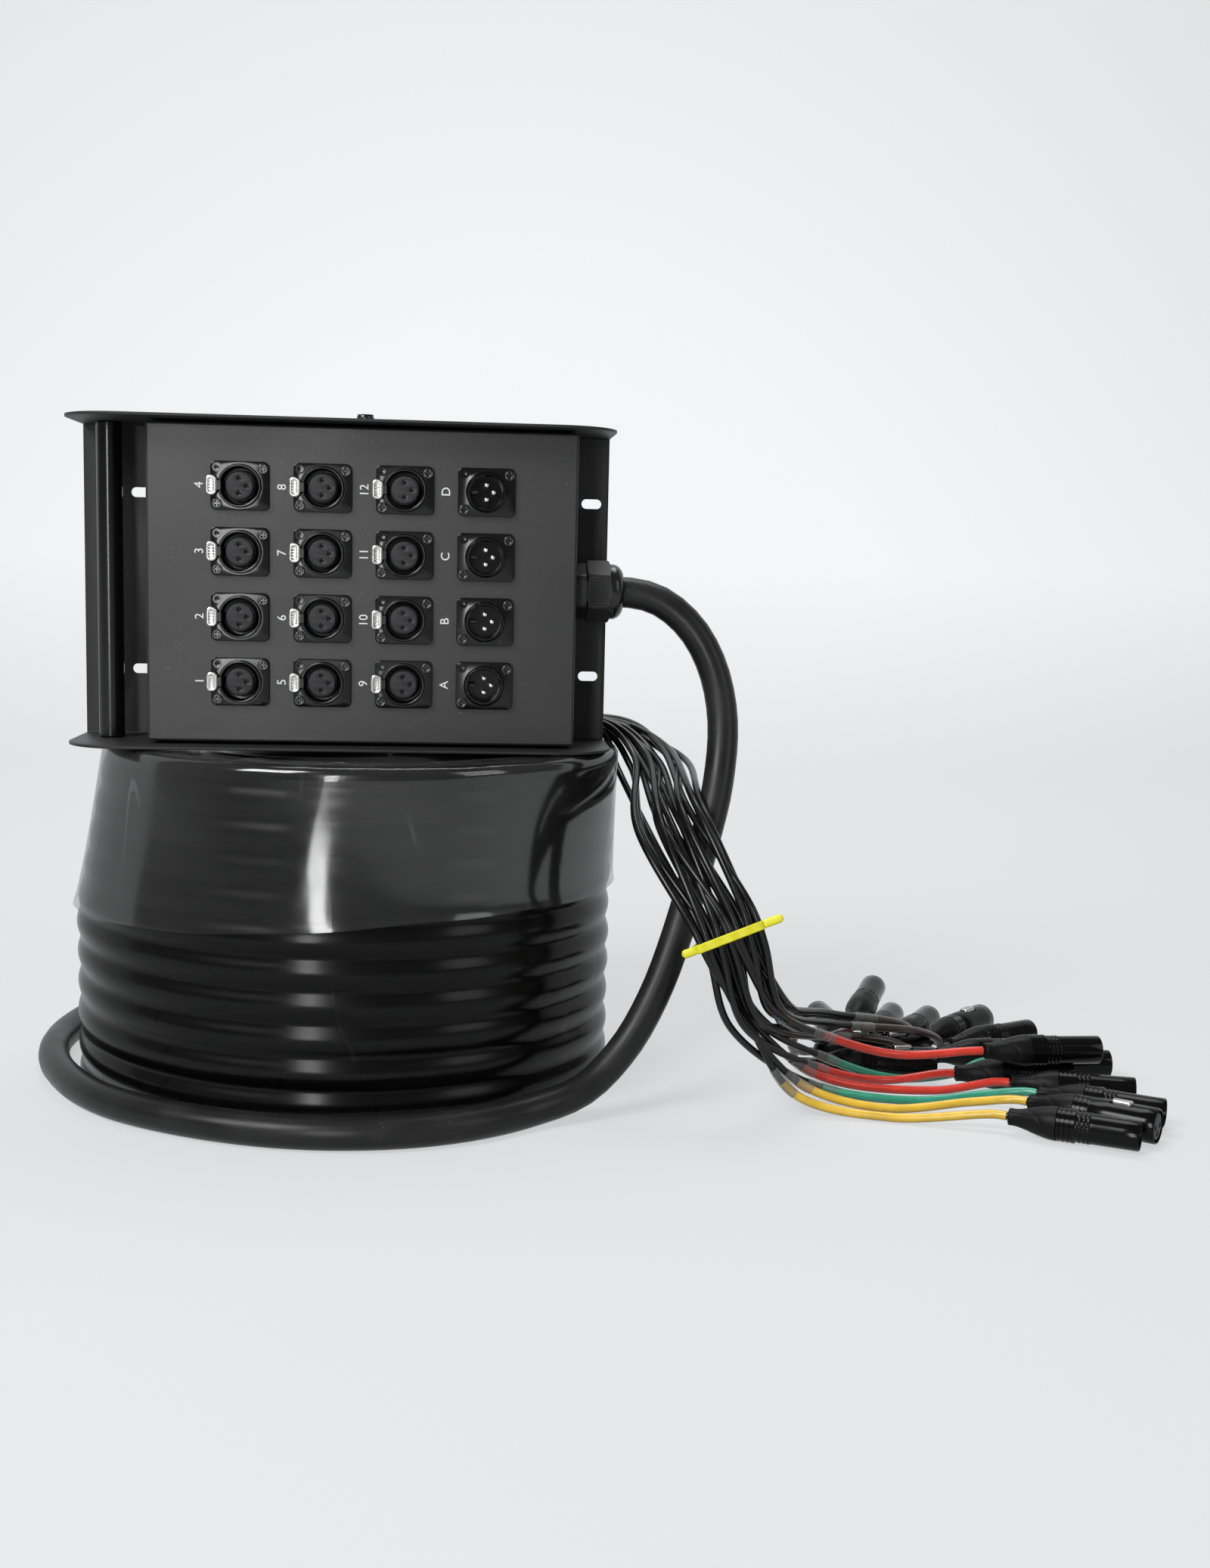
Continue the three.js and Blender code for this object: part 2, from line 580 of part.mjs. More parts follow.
// Centres of the outer layer, from end to end.
function loopCentres() {
  const centres = [];
  for (let i = 0; i <= COIL_LOOPS * LOOP_STEPS; i += 1) centres.push(loopCentre(i));
  centres.unshift(levelEnd(centres[0], loopCentre(-1)));
  centres.push(levelEnd(centres.at(-1), loopCentre(COIL_LOOPS * LOOP_STEPS + 1)));
  return centres;
}

// A ring of points round every centre, across the run there, joined to one closed tube.
function coilTurns(centres) {
  const up = new THREE.Vector3(0, 0, 1);
  const positions = [];
  const index = [];
  centres.forEach((centre, i) => {
    const before = centres[Math.max(i - 1, 0)];
    const after = centres[Math.min(i + 1, centres.length - 1)];
    const along = after.clone().sub(before).normalize();
    const out = along.clone().cross(up).normalize();
    const across = out.clone().cross(along);
    for (let k = 0; k < LOOP_SIDES; k += 1) {
      const angle = (2 * Math.PI * k) / LOOP_SIDES;
      const point = centre.clone();
      point.addScaledVector(out, (Math.cos(angle) * TURN_DIAMETER) / 2);
      point.addScaledVector(across, (Math.sin(angle) * TURN_DIAMETER) / 2);
      positions.push(...point.toArray());
    }
  });
  const last = (centres.length - 1) * LOOP_SIDES;
  for (let start = 0; start < last; start += LOOP_SIDES) {
    for (let k = 0; k < LOOP_SIDES; k += 1) {
      const a = start + k;
      const b = start + ((k + 1) % LOOP_SIDES);
      index.push(a, a + LOOP_SIDES, b, b, a + LOOP_SIDES, b + LOOP_SIDES);
    }
  }
  for (let k = 1; k < LOOP_SIDES - 1; k += 1) {
    index.push(0, k, k + 1);
    index.push(last, last + k + 1, last + k);
  }
  return closedMesh(positions, index);
}

function closedMesh(positions, index) {
  const geometry = new THREE.BufferGeometry();
  geometry.setAttribute("position", new THREE.Float32BufferAttribute(positions, 3));
  geometry.setIndex(index);
  return solid(geometry);
}

// The least gap between the skins of two loops, measured on the centres.
function leastGap(centres) {
  let least = Infinity;
  centres.forEach((a, i) => {
    for (let j = i + LOOP_STEPS / 2; j < centres.length; j += 1) {
      least = Math.min(least, a.distanceTo(centres[j]));
    }
  });
  return least - TURN_DIAMETER;
}

// The film cut through at one angle: radius and height of each point of its section.
function filmSection(angle) {
  const points = [
    [filmFoldRadius, 0],
    [filmValleyRadius, 0],
  ];
  const rowHeight = loopPitch / FILM_ROWS_PER_RIB;
  const rows = Math.floor(FILM_LOOSE_FROM / rowHeight - 1 / 2);
  const turnsBehind = (loopStartAngle - angle) / (2 * Math.PI);
  for (let row = FILM_ROWS_PER_RIB; row <= rows; row += 1) {
    const z = row * rowHeight;
    const phase = 2 * Math.PI * ((z - firstLoopZ) / loopPitch - turnsBehind);
    points.push([filmValleyRadius + (FILM_RIB_DEPTH * (1 + Math.cos(phase))) / 2, z]);
  }
  points.push(
    [filmCrestRadius, FILM_LOOSE_FROM],
    [filmCrestRadius - FILM_WAIST, (FILM_LOOSE_FROM + filmTop) / 2],
    [filmCrestRadius, filmTop - 2 * FILM_EDGE],
    [filmCrestRadius - 2 * FILM_EDGE, filmTop],
    [filmFoldRadius, filmTop],
    [filmFoldRadius, filmTop - FILM_FOLD_THICKNESS],
    [filmInnerRadius - 2 * FILM_EDGE, filmTop - FILM_FOLD_THICKNESS],
    [filmInnerRadius, filmTop - 2 * FILM_EDGE],
    [filmInnerRadius, FILM_FOLD_THICKNESS],
    [filmFoldRadius, FILM_FOLD_THICKNESS],
  );
  return points;
}

// Film round the coil: its section carried round, with ribs that follow the loops under it.
function film() {
  const positions = [];
  const index = [];
  const count = filmSection(0).length;
  for (let side = 0; side < LOOP_STEPS; side += 1) {
    const angle = (2 * Math.PI * side) / LOOP_STEPS;
    for (const [radius, z] of filmSection(angle)) {
      positions.push(radius * Math.cos(angle), radius * Math.sin(angle), z);
    }
    for (let k = 0; k < count; k += 1) {
      const a = side * count + k;
      const b = side * count + ((k + 1) % count);
      const c = ((side + 1) % LOOP_STEPS) * count + k;
      const d = ((side + 1) % LOOP_STEPS) * count + ((k + 1) % count);
      index.push(a, c, b, b, c, d);
    }
  }
  return closedMesh(positions, index);
}

// Route of the lead: out of the gland, down to the floor, round the coil's front and behind it.
const LEAD_POINTS = [
  [142, -41.8, 281.8],
  [160, -41.8, 281.5],
  [174, -42.8, 278.5],
  [187, -44.5, 270.5],
  [199, -47.5, 257],
  [208.5, -53, 236],
  [212.5, -61, 209],
  [209, -72, 176],
  [202, -82, 150],
  [182, -102.5, 89],
  [170, -110.5, 61],
  [155, -117.5, 37],
  [133, -126.5, 17],
  [104, -139.5, 9.4],
  [68, -163, 9.1],
  [26, -174, 9.1],
  [-22, -171, 9.1],
  [-74, -151, 9.1],
  [-122, -116, 9.1],
  [-154, -66, 9.1],
  [-168, -22, 9.1],
  [-170, 20, 9.1],
  [-161, 66, 9.1],
  [-136, 110, 9.1],
  [-98, 145, 9.1],
  [-50, 167, 9.1],
  [0, 171, 9.1],
  [44, 160, 9.3],
  [76, 139, 9.5],
  [97, 118.5, 9.5],
];
const centres = loopCentres();
const leadEnd = straightOn(centres[1], centres[0], SEAT_GAP);
const LEAD_ROUTE = [
  new THREE.Vector3(leadStart, glandY, coverMiddleZ),
  ...LEAD_POINTS.map(vector),
  straightOn(centres[0], leadEnd, CABLE_DIAMETER),
  leadEnd,
];

// The slit where the lead slips under the film, behind the coil.
const SLIT_POINTS = 6; // how many of the route's last points it follows
function filmSlit() {
  const points = [...LEAD_ROUTE.slice(-SLIT_POINTS), centres[1]];
  return tube(points, CABLE_DIAMETER + 2 * FILM_SLIT_CLEARANCE, CABLE_SIDES);
}

// The cable's inner end: up out of the coil's middle and over its inner rim, to the breakout boot.
const TRUNK_POINTS = [
  [30, 36, 110],
  [28, 44, 160],
  [32, 54, 190],
  [43, 62, 202],
  [62, 62, 203],
  [84, 54, 202.5],
];

// Places that all tails pass: the bundle's middle and its wide direction.
const BUNDLE = [
  { at: [111, 43, 200.8], wide: [0.41, 0.91, 0] },
  { at: [158, 27, 199.6], wide: [0.3, 0.95, 0] },
  { at: [178, -1, 184.5], wide: [0.6, 0.7, 0.35] },
  { at: [181, -93, 156.5], wide: [0.86, 0, 0.5] },
  { at: [204.3, -133.5, 111.9], wide: [0.9, 0, 0.43], strap: "above" },
  { at: [211.7, -136.5, 93.3], wide: [0.9, 0, 0.43], strap: "below" },
  { at: [226, -131, 61], wide: [0.88, 0.1, 0.45] },
];

// Each tail in turn: the points that it passes below the strap, and its plug's rear end and turn.
const TAILS = [
  { plug: "1", via: [[250, -123, 12], [300, -134, 3]], rear: [359, -153, 9.4], turn: -30 },
  { plug: "2", via: [[262, -110, 14], [320, -104, 3], [360, -103, 6]], rear: [389, -113, 9.4], turn: -32 },
  { plug: "A", via: [[256, -117, 15], [300, -121, 4], [348, -120, 7]], rear: [378, -130, 9.9], turn: -38 },
  { plug: "3", via: [[268, -101, 16], [335, -92, 5]], rear: [380, -92, 9.4], turn: -15 },
  { plug: "4", via: [[272, -95, 18], [312, -75, 6]], rear: [353, -73, 9.4], turn: -2 },
  { plug: "B", via: [[255, -84, 28], [260, -60, 14]], rear: [276, -50, 9.9], turn: -3 },
  { plug: "7", via: [[274, -78, 32], [302, -46, 24], [326, -40, 18]], rear: [352, -36, 9.4], turn: 10 },
  { plug: "C", via: [[258, -66, 32], [263, -42, 16]], rear: [280, -28, 9.9], turn: 4 },
  { plug: "6", via: [[277, -97, 36], [318, -82, 23]], rear: [366, -84, 25.8], turn: 2 },
  { plug: "5", via: [[276, -88, 22], [320, -68, 5], [355, -65, 7]], rear: [384, -50, 9.4], turn: -3 },
  { plug: "12", via: [[257, -78, 60], [287, -40, 34]], rear: [305, -16, 23.4], turn: 66, rise: 7 },
  { plug: "11", via: [[260, -52, 44], [285, -25, 23], [299, -12.5, 13]], rear: [307, -2, 9.4], turn: 95 },
  { plug: "9", via: [[275, -60, 41], [322, -22, 24], [328, -14.5, 16.5]], rear: [336, -4, 9.4], turn: 58 },
  { plug: "10", via: [[273, -57, 40], [310, -22, 24], [314, -13, 16]], rear: [320, 1, 9.4], turn: 64 },
  { plug: "8", via: [[282, -70, 38], [345, -29, 25], [357, -21, 17]], rear: [367, -14, 9.4], turn: 28 },
  { plug: "D", via: [[281, -61, 42], [334, -23, 25], [345, -11.5, 16]], rear: [356, -1, 9.9], turn: 45 },
];
const RETURN_PLUGS = "ABCD"; // these carry a female end with a latch

// The places next to the strap, and the bundle's direction between them.
const aboveStrap = BUNDLE.findIndex(({ strap }) => strap === "above");
const belowStrap = BUNDLE.findIndex(({ strap }) => strap === "below");
const tieAlong = vector(BUNDLE[belowStrap].at).sub(vector(BUNDLE[aboveStrap].at)).normalize();

// How the bundle lies at one of its places: across it and through it.
function bundleAxes(k) {
  const before = vector(BUNDLE[Math.max(k - 1, 0)].at);
  const after = vector(BUNDLE[Math.min(k + 1, BUNDLE.length - 1)].at);
  const along = BUNDLE[k].strap ? tieAlong.clone() : after.sub(before).normalize();
  const deep = vector(BUNDLE[k].wide).cross(along).normalize();
  return { deep, wide: along.cross(deep) };
}

// Where tail number i lies at place k: packed in lanes and rows round the middle.
function lanePoint(i, k) {
  const lane = Math.floor(i / TAIL_ROWS) - (TAIL_LANES - 1) / 2;
  const row = (i % TAIL_ROWS) - (TAIL_ROWS - 1) / 2;
  const { wide, deep } = bundleAxes(k);
  const point = vector(BUNDLE[k].at);
  return point.addScaledVector(wide, lane * TAIL_PITCH).addScaledVector(deep, row * TAIL_PITCH);
}

// How a plug is turned: about the vertical, then up at its front.
function plugTurn({ turn, rise = 0 }) {
  return new THREE.Euler(0, THREE.MathUtils.degToRad(-rise), THREE.MathUtils.degToRad(turn), "ZYX");
}

function tailPoints(tail, i) {
  const direction = new THREE.Vector3(1, 0, 0).applyEuler(plugTurn(tail));
  return [
    ...BUNDLE.map((_, k) => lanePoint(i, k)),
    ...tail.via.map(vector),
    vector(tail.rear).addScaledVector(direction, -PLUG_ENTRY),
    vector(tail.rear).addScaledVector(direction, -SEAT_GAP),
  ];
}

// Tails, breakout boot and the cable's inner end, joined in the boot.
function tails() {
  const mouth = vector(BUNDLE[0].at);
  const { wide, deep } = bundleAxes(0);
  const boot = new THREE.CylinderGeometry(1 / 2, 1 / 2, BOOT_LENGTH, CABLE_SIDES);
  const ends = boot.attributes.position;
  for (let i = 0; i < ends.count; i += 1) {
    const atMouth = ends.getY(i) > 0;
    ends.setX(i, ends.getX(i) * (atMouth ? BOOT_MOUTH_WIDTH : CABLE_DIAMETER));
    ends.setZ(i, ends.getZ(i) * (atMouth ? BOOT_MOUTH_HEIGHT : CABLE_DIAMETER));
  }
  boot.translate(0, OVERRUN - BOOT_LENGTH / 2, 0);
  boot.applyMatrix4(new THREE.Matrix4().makeBasis(wide, deep.clone().cross(wide), deep)).translate(...mouth);
  let body = solid(boot).add(tube(TRUNK_POINTS.map(vector), CABLE_DIAMETER, CABLE_SIDES));
  for (const points of TAILS.map(tailPoints)) body = body.add(tube(points, TAIL_DIAMETER, TAIL_SIDES));
  return body;
}

// Strap round the bundle, with both ends standing out.
function tie() {
  const inside = (count) => (count - 1) * TAIL_PITCH + TAIL_DIAMETER + 2 * SEAT_GAP;
  const width = inside(TAIL_LANES);
  const depth = inside(TAIL_ROWS);
  const outer = roundRectangle(
    width + 2 * TIE_THICKNESS,
    depth + 2 * TIE_THICKNESS,
    TIE_CORNER_RADIUS + TIE_THICKNESS,
  );
  outer.holes.push(roundRectangle(width, depth, TIE_CORNER_RADIUS));
  const band = { depth: TIE_WIDTH, bevelEnabled: false, curveSegments: CURVE_STEPS };
  let body = solid(new THREE.ExtrudeGeometry(outer, band).translate(0, 0, -TIE_WIDTH / 2));
  const end = new THREE.BoxGeometry(TIE_END_LENGTH, TIE_END_THICKNESS, TIE_WIDTH);
  const endX = (width + TIE_THICKNESS + TIE_END_LENGTH) / 2;
  for (const side of [-1, 1]) body = body.add(solid(end.clone().translate(side * endX, 0, 0)));
  const { wide, deep } = bundleAxes(aboveStrap);
  const turn = new THREE.Matrix4().makeBasis(wide, deep, wide.clone().cross(deep));
  const middle = vector(BUNDLE[aboveStrap].at).lerp(vector(BUNDLE[belowStrap].at), 1 / 2);
  return solid(geometryOf(body).applyMatrix4(turn).translate(...middle));
}

// Cable plugs point along +X from their rear ends.
function malePlug() {
  const bottom = MALE_PLUG_LENGTH - MALE_PLUG_CUP_DEPTH;
  let body = turned(
    [
      [0, 0],
      [PLUG_BOOT_END_DIAMETER / 2, 0],
      [MALE_PLUG_DIAMETER / 2, PLUG_BOOT_LENGTH],
      [MALE_PLUG_DIAMETER / 2, MALE_PLUG_COLLAR_END],
      [MALE_PLUG_BARREL_DIAMETER / 2, MALE_PLUG_COLLAR_END],
      [MALE_PLUG_BARREL_DIAMETER / 2, MALE_PLUG_LENGTH],
      [MALE_PLUG_CUP_DIAMETER / 2, MALE_PLUG_LENGTH],
      [MALE_PLUG_CUP_DIAMETER / 2, bottom],
      [0, bottom],
    ],
    PLUG_SIDES,
  );
  for (const [y, z] of contacts(PLUG_CONTACT_DEGREES)) {
    body = body.add(rodX(PIN_DIAMETER, [bottom - SEAT_GAP, bottom + PIN_LENGTH], y, z, CONTACT_SIDES));
  }
  return body;
}

// Places of a female plug's latch
const plugLatchX = [
  FEMALE_PLUG_LENGTH - PLUG_LATCH_FROM_MOUTH - PLUG_LATCH_LENGTH,
  FEMALE_PLUG_LENGTH - PLUG_LATCH_FROM_MOUTH,
];
const plugLatchTop = FEMALE_PLUG_DIAMETER / 2 + PLUG_LATCH_PROUD;
const plugLatchBottom = plugLatchTop - PLUG_LATCH_HEIGHT;

function femalePlug() {
  const grooveEnd = FEMALE_PLUG_LENGTH - FEMALE_PLUG_GROOVE_DEPTH;
  const body = turned(
    [
      [0, 0],
      [PLUG_BOOT_END_DIAMETER / 2, 0],
      [FEMALE_PLUG_DIAMETER / 2, PLUG_BOOT_LENGTH],
      [FEMALE_PLUG_DIAMETER / 2, FEMALE_PLUG_LENGTH],
      [FEMALE_PLUG_GROOVE_OUTER_DIAMETER / 2, FEMALE_PLUG_LENGTH],
      [FEMALE_PLUG_GROOVE_OUTER_DIAMETER / 2, grooveEnd],
      [FEMALE_PLUG_GROOVE_INNER_DIAMETER / 2, grooveEnd],
      [FEMALE_PLUG_GROOVE_INNER_DIAMETER / 2, FEMALE_PLUG_LENGTH],
      [0, FEMALE_PLUG_LENGTH],
    ],
    PLUG_SIDES,
  );
  const half = PLUG_LATCH_WIDTH / 2 + RUNNING_GAP;
  const wellX = [plugLatchX[0] - RUNNING_GAP, plugLatchX[1] + RUNNING_GAP];
  const wellZ = [plugLatchBottom - PLUG_LATCH_TRAVEL - RUNNING_GAP, plugLatchTop + OVERRUN];
  return body.subtract(block(wellX, [-half, half], wellZ));
}

function plugLatch() {
  const half = PLUG_LATCH_WIDTH / 2;
  return block(plugLatchX, [-half, half], [plugLatchBottom, plugLatchTop]);
}

// Assembly: box
piece("chassis", chassis(), POWDER_COAT);
piece("cover", cover(), POWDER_COAT);
const barPlace = groupAt(BAR_FROM_LEFT_END - chassisEndX, backPlateY - BAR_FROM_BACK_PLATE, 0);
piece("carrying_bar", carryingBar(), BAR_COAT, barPlace);
for (const { label, isReturn, x, z } of socketPlaces()) {
  const place = groupAt(x, COVER_FRONT_Y, z);
  piece("socket_" + label, isReturn ? maleSocket() : femaleSocket(), SOCKET_BLACK, place);
  if (!isReturn) piece("latch_" + label, socketLatch(), LATCH_NICKEL, place);
}
const glandPlace = groupAt(0, glandY, coverMiddleZ);
piece("gland_body", glandBody(), GLAND_NYLON, glandPlace);
piece("gland_nut", glandNut(), GLAND_NYLON, glandPlace);
piece("wiring_loom", loom(), LOOM_GREY);

// Assembly: cable
console.log("least gap between the coil's loops: " + leastGap(centres).toFixed(2) + " mm");
piece("coil_core", coilCore(), JACKET_BLACK);
piece("coil_turns", coilTurns(centres), JACKET_BLACK);
piece("stretch_wrap", film().subtract(filmSlit()), FILM_CLEAR);
piece("trunk_lead", tube(LEAD_ROUTE, CABLE_DIAMETER, CABLE_SIDES), JACKET_BLACK);
piece("tails", tails(), TAIL_BLACK);
piece("tail_tie", tie(), TIE_YELLOW);
for (const tail of TAILS) {
  const place = groupAt(...tail.rear);
  place.rotation.copy(plugTurn(tail));
  const isReturn = RETURN_PLUGS.includes(tail.plug);
  piece("plug_" + tail.plug, isReturn ? femalePlug() : malePlug(), PLUG_BLACK, place);
  if (isReturn) piece("plug_latch_" + tail.plug, plugLatch(), LATCH_NICKEL, place);
}

export default stageBox;
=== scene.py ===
"""Looks of the stage box on its wrapped cable coil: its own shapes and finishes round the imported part.

Metres, +Z up, the sockets face -Y. New pieces are worked out in millimetres as arrays and scaled once.
A skin is (points, faces, number of its finish).
"""

import math
from contextlib import contextmanager

import bmesh
import bpy
import numpy as np
from mathutils import Matrix


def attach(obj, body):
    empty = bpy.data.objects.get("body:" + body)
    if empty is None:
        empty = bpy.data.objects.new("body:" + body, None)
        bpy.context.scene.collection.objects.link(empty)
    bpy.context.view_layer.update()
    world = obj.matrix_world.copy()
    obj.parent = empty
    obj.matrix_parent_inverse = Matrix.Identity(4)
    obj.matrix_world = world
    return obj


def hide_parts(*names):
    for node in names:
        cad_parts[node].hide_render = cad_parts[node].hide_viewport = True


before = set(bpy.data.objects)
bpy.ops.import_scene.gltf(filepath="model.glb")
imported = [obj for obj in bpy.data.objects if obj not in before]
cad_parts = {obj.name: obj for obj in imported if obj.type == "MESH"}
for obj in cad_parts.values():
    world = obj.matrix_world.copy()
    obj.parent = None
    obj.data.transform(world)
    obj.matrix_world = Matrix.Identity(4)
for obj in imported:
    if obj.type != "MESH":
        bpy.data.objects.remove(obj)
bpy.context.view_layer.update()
scene = bpy.context.scene
MM = 0.001
BOX = "stage_box"

# Camera, as the photograph was taken
CAMERA_AT = (0.0601, -1.0311, 0.2942)
CAMERA_YAW, CAMERA_PITCH, CAMERA_ROLL = (math.radians(a) for a in (-5.09, 7.022, 1.334))
CAMERA_LENS, SENSOR_WIDTH = 39.93, 36.0
NEAREST_SEEN, FARTHEST_SEEN = 0.05, 30.0


def aimed(holder, right, up, back, at):
    """Stand a camera or lamp at a point by its three axes, and put it in the scene."""
    matrix = np.eye(4)
    matrix[:3] = np.stack([right, up, back, at], -1)
    holder.matrix_world = Matrix(matrix.tolist())
    scene.collection.objects.link(holder)


def photo_camera():
    """The view direction turned by yaw and pitch, with right and up turned round it by roll."""
    yaw, pitch, roll = CAMERA_YAW, CAMERA_PITCH, CAMERA_ROLL
    ahead = np.array([-math.sin(yaw) * math.cos(pitch), math.cos(yaw) * math.cos(pitch), -math.sin(pitch)])
    right = np.array([math.cos(yaw), math.sin(yaw), 0.0])
    up = np.cross(right, ahead)
    lens = bpy.data.cameras.new("photo_camera")
    lens.lens, lens.sensor_width = CAMERA_LENS, SENSOR_WIDTH
    lens.clip_start, lens.clip_end = NEAREST_SEEN, FARTHEST_SEEN
    camera = bpy.data.objects.new("photo_camera", lens)
    aimed(camera, right * math.cos(roll) + up * math.sin(roll), up * math.cos(roll) - right * math.sin(roll),
          -ahead, CAMERA_AT)
    scene.camera = camera


photo_camera()


# Meshes from arrays of points

def unit(v):
    """Vectors along the last axis, brought to length one."""
    return v / np.maximum(np.linalg.norm(v, axis=-1, keepdims=True), 1e-12)


@contextmanager
def worked_on(mesh):
    """A mesh taken into a bmesh, and written back after the work."""
    work = bmesh.new()
    work.from_mesh(mesh)
    yield work
    work.to_mesh(mesh)
    work.free()


def taken_from(mesh):
    """A mesh's points and faces; the mesh itself is removed."""
    points = np.zeros(len(mesh.vertices) * 3)
    mesh.vertices.foreach_get("co", points)
    faces = [list(p.vertices) for p in mesh.polygons]
    bpy.data.meshes.remove(mesh)
    return points.reshape(-1, 3), faces


def filled(curve):
    """A filled curve or a text made a mesh; the curve itself is removed."""
    holder = bpy.data.objects.new("filled", curve)
    mesh = bpy.data.meshes.new_from_object(holder)
    bpy.data.objects.remove(holder)
    bpy.data.curves.remove(curve)
    return mesh


def band(rings, finish=0, joined=False):
    """Quads between neighbouring rings of points, each ring closed; the end rings are filled, or joined."""
    rings = np.asarray(rings, float)
    m, n = rings.shape[:2]
    index = np.arange(m * n).reshape(m, n)
    rows = np.vstack([index, index[:1]]) if joined else index
    ahead = np.roll(rows, -1, 1)
    faces = np.stack([rows[:-1], ahead[:-1], ahead[1:], rows[1:]], -1).reshape(-1, 4).tolist()
    if not joined:
        faces += [index[0, ::-1].tolist(), index[-1].tolist()]
    return rings.reshape(-1, 3), faces, finish


def moved(skin, by):
    """A skin moved by a vector."""
    return skin[0] + np.asarray(by, float), skin[1], skin[2]


def turned(skin, *axes):
    """A skin with its axes swapped: each new axis is an old one's number, 1 to 3, below zero where it is reversed."""
    return np.stack([np.sign(a) * skin[0][:, abs(a) - 1] for a in axes], -1), skin[1], skin[2]


FRONT, UP, DOWN = (2, -1, 3), (1, 3, -2), (1, 3, 2)


def make(name, skins, finishes, body=BOX, replaces=(), sharp=32.0, uv=None):
    """One object from skins, in millimetres; sharp is the angle past which an edge isn't smoothed."""
    points = np.concatenate([s[0] for s in skins]) * MM
    starts = np.cumsum([0] + [len(s[0]) for s in skins[:-1]])
    faces = [[i + start for i in face] for s, start in zip(skins, starts) for face in s[1]]
    mesh = bpy.data.meshes.new(name)
    mesh.from_pydata(points.tolist(), [], faces)
    worn = np.repeat([s[2] for s in skins], [len(s[1]) for s in skins]).astype(np.int32)
    mesh.polygons.foreach_set("material_index", worn)
    if uv is not None:
        layer = mesh.uv_layers.new(name="along")
        layer.data.foreach_set("uv", np.asarray(uv, np.float32).ravel())
    for finish in finishes:
        mesh.materials.append(finish)
    with worked_on(mesh) as work:
        bmesh.ops.remove_doubles(work, verts=work.verts, dist=1e-7)
        bmesh.ops.recalc_face_normals(work, faces=work.faces)
    mesh.polygons.foreach_set("use_smooth", np.ones(len(mesh.polygons), bool))
    mesh.set_sharp_from_angle(angle=math.radians(sharp))
    piece = bpy.data.objects.new(name, mesh)
    scene.collection.objects.link(piece)
    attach(piece, body)
    if replaces:
        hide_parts(*replaces)
    return piece


def circle(count, start=0.0):
    """Angles round a full turn."""
    return start + 2 * np.pi * np.arange(count) / count


def lathe(profile, count, finish=0, shape=None, start=0.0, joined=False):
    """A profile of (along, radius) turned about X; shape changes the radius by place and angle."""
    profile = np.asarray(profile, float)
    along, angle = np.broadcast_arrays(profile[:, :1], circle(count, start))
    radius = np.broadcast_to(profile[:, 1:], along.shape)
    if shape:
        radius = shape(along, angle, radius)
    return band(np.stack([along, radius * np.cos(angle), radius * np.sin(angle)], -1), finish, joined)


def rectangle(width, height, radius, corner_steps=8, side_steps=10):
    """Outline of a rectangle with round corners: quarter circles about the corners' centres, even points between."""
    turn = np.linspace(0, np.pi / 2, corner_steps + 1)
    x, z = width / 2 - radius, height / 2 - radius
    corners = []
    for k, (cx, cz) in enumerate(((x, z), (-x, z), (-x, -z), (x, -z))):
        a = turn + k * np.pi / 2
        corners.append(np.stack([cx + radius * np.cos(a), cz + radius * np.sin(a)], -1))
    share = np.linspace(0, 1, side_steps + 1)[1:-1, None]
    runs = []
    for corner, following in zip(corners, corners[1:] + corners[:1]):
        runs += [corner, corner[-1] + (following[0] - corner[-1]) * share]
    return np.concatenate(runs)


def pressed(width, height, radius, levels, finish=0, corner_steps=3, side_steps=1):
    """A plate seen along Y: its outline drawn in by each level's inset, at that level's depth."""
    rings = []
    for inset, depth in levels:
        flat = rectangle(width - 2 * inset, height - 2 * inset, max(radius - inset, 0.05), corner_steps, side_steps)
        rings.append(np.stack([flat[:, 0], np.full(len(flat), depth), flat[:, 1]], -1))
    return band(rings, finish)


def cut_plate(outlines, thickness, bevel, finish=0):
    """A flat plate in X and Y with holes, half its thickness to each side: filled curves, extruded and bevelled."""
    curve = bpy.data.curves.new("cut_plate", "CURVE")
    curve.dimensions, curve.fill_mode = "2D", "BOTH"
    curve.extrude, curve.bevel_depth, curve.bevel_resolution = thickness / 2 - bevel, bevel, 1
    curve.offset = -bevel
    for outline in outlines:
        spline = curve.splines.new("POLY")
        spline.points.add(len(outline) - 1)
        flat = np.zeros((len(outline), 4))
        flat[:, :2], flat[:, 3] = outline, 1
        spline.points.foreach_set("co", flat.ravel())
        spline.use_cyclic_u = True
    mesh = filled(curve)
    with worked_on(mesh) as work:
        bmesh.ops.remove_doubles(work, verts=work.verts, dist=1e-4)
    return *taken_from(mesh), finish


def front_plate(outlines, thickness, bevel, front, finish=0):
    """A cut plate stood up, its outlines in X and Z, its front face at y = front."""
    plate = turned(cut_plate(outlines, thickness, bevel, finish), 1, -3, 2)
    return moved(plate, (0, front + thickness / 2, 0))


def round_outline(radius, count=48, at=(0, 0)):
    """A circle's points."""
    a = circle(count)
    return np.stack([at[0] + radius * np.cos(a), at[1] + radius * np.sin(a)], -1)


# Routes of cords

def run_of(route):
    """Length along a route at each of its points."""
    return np.concatenate([[0], np.cumsum(np.linalg.norm(np.diff(route, axis=0), axis=1))])


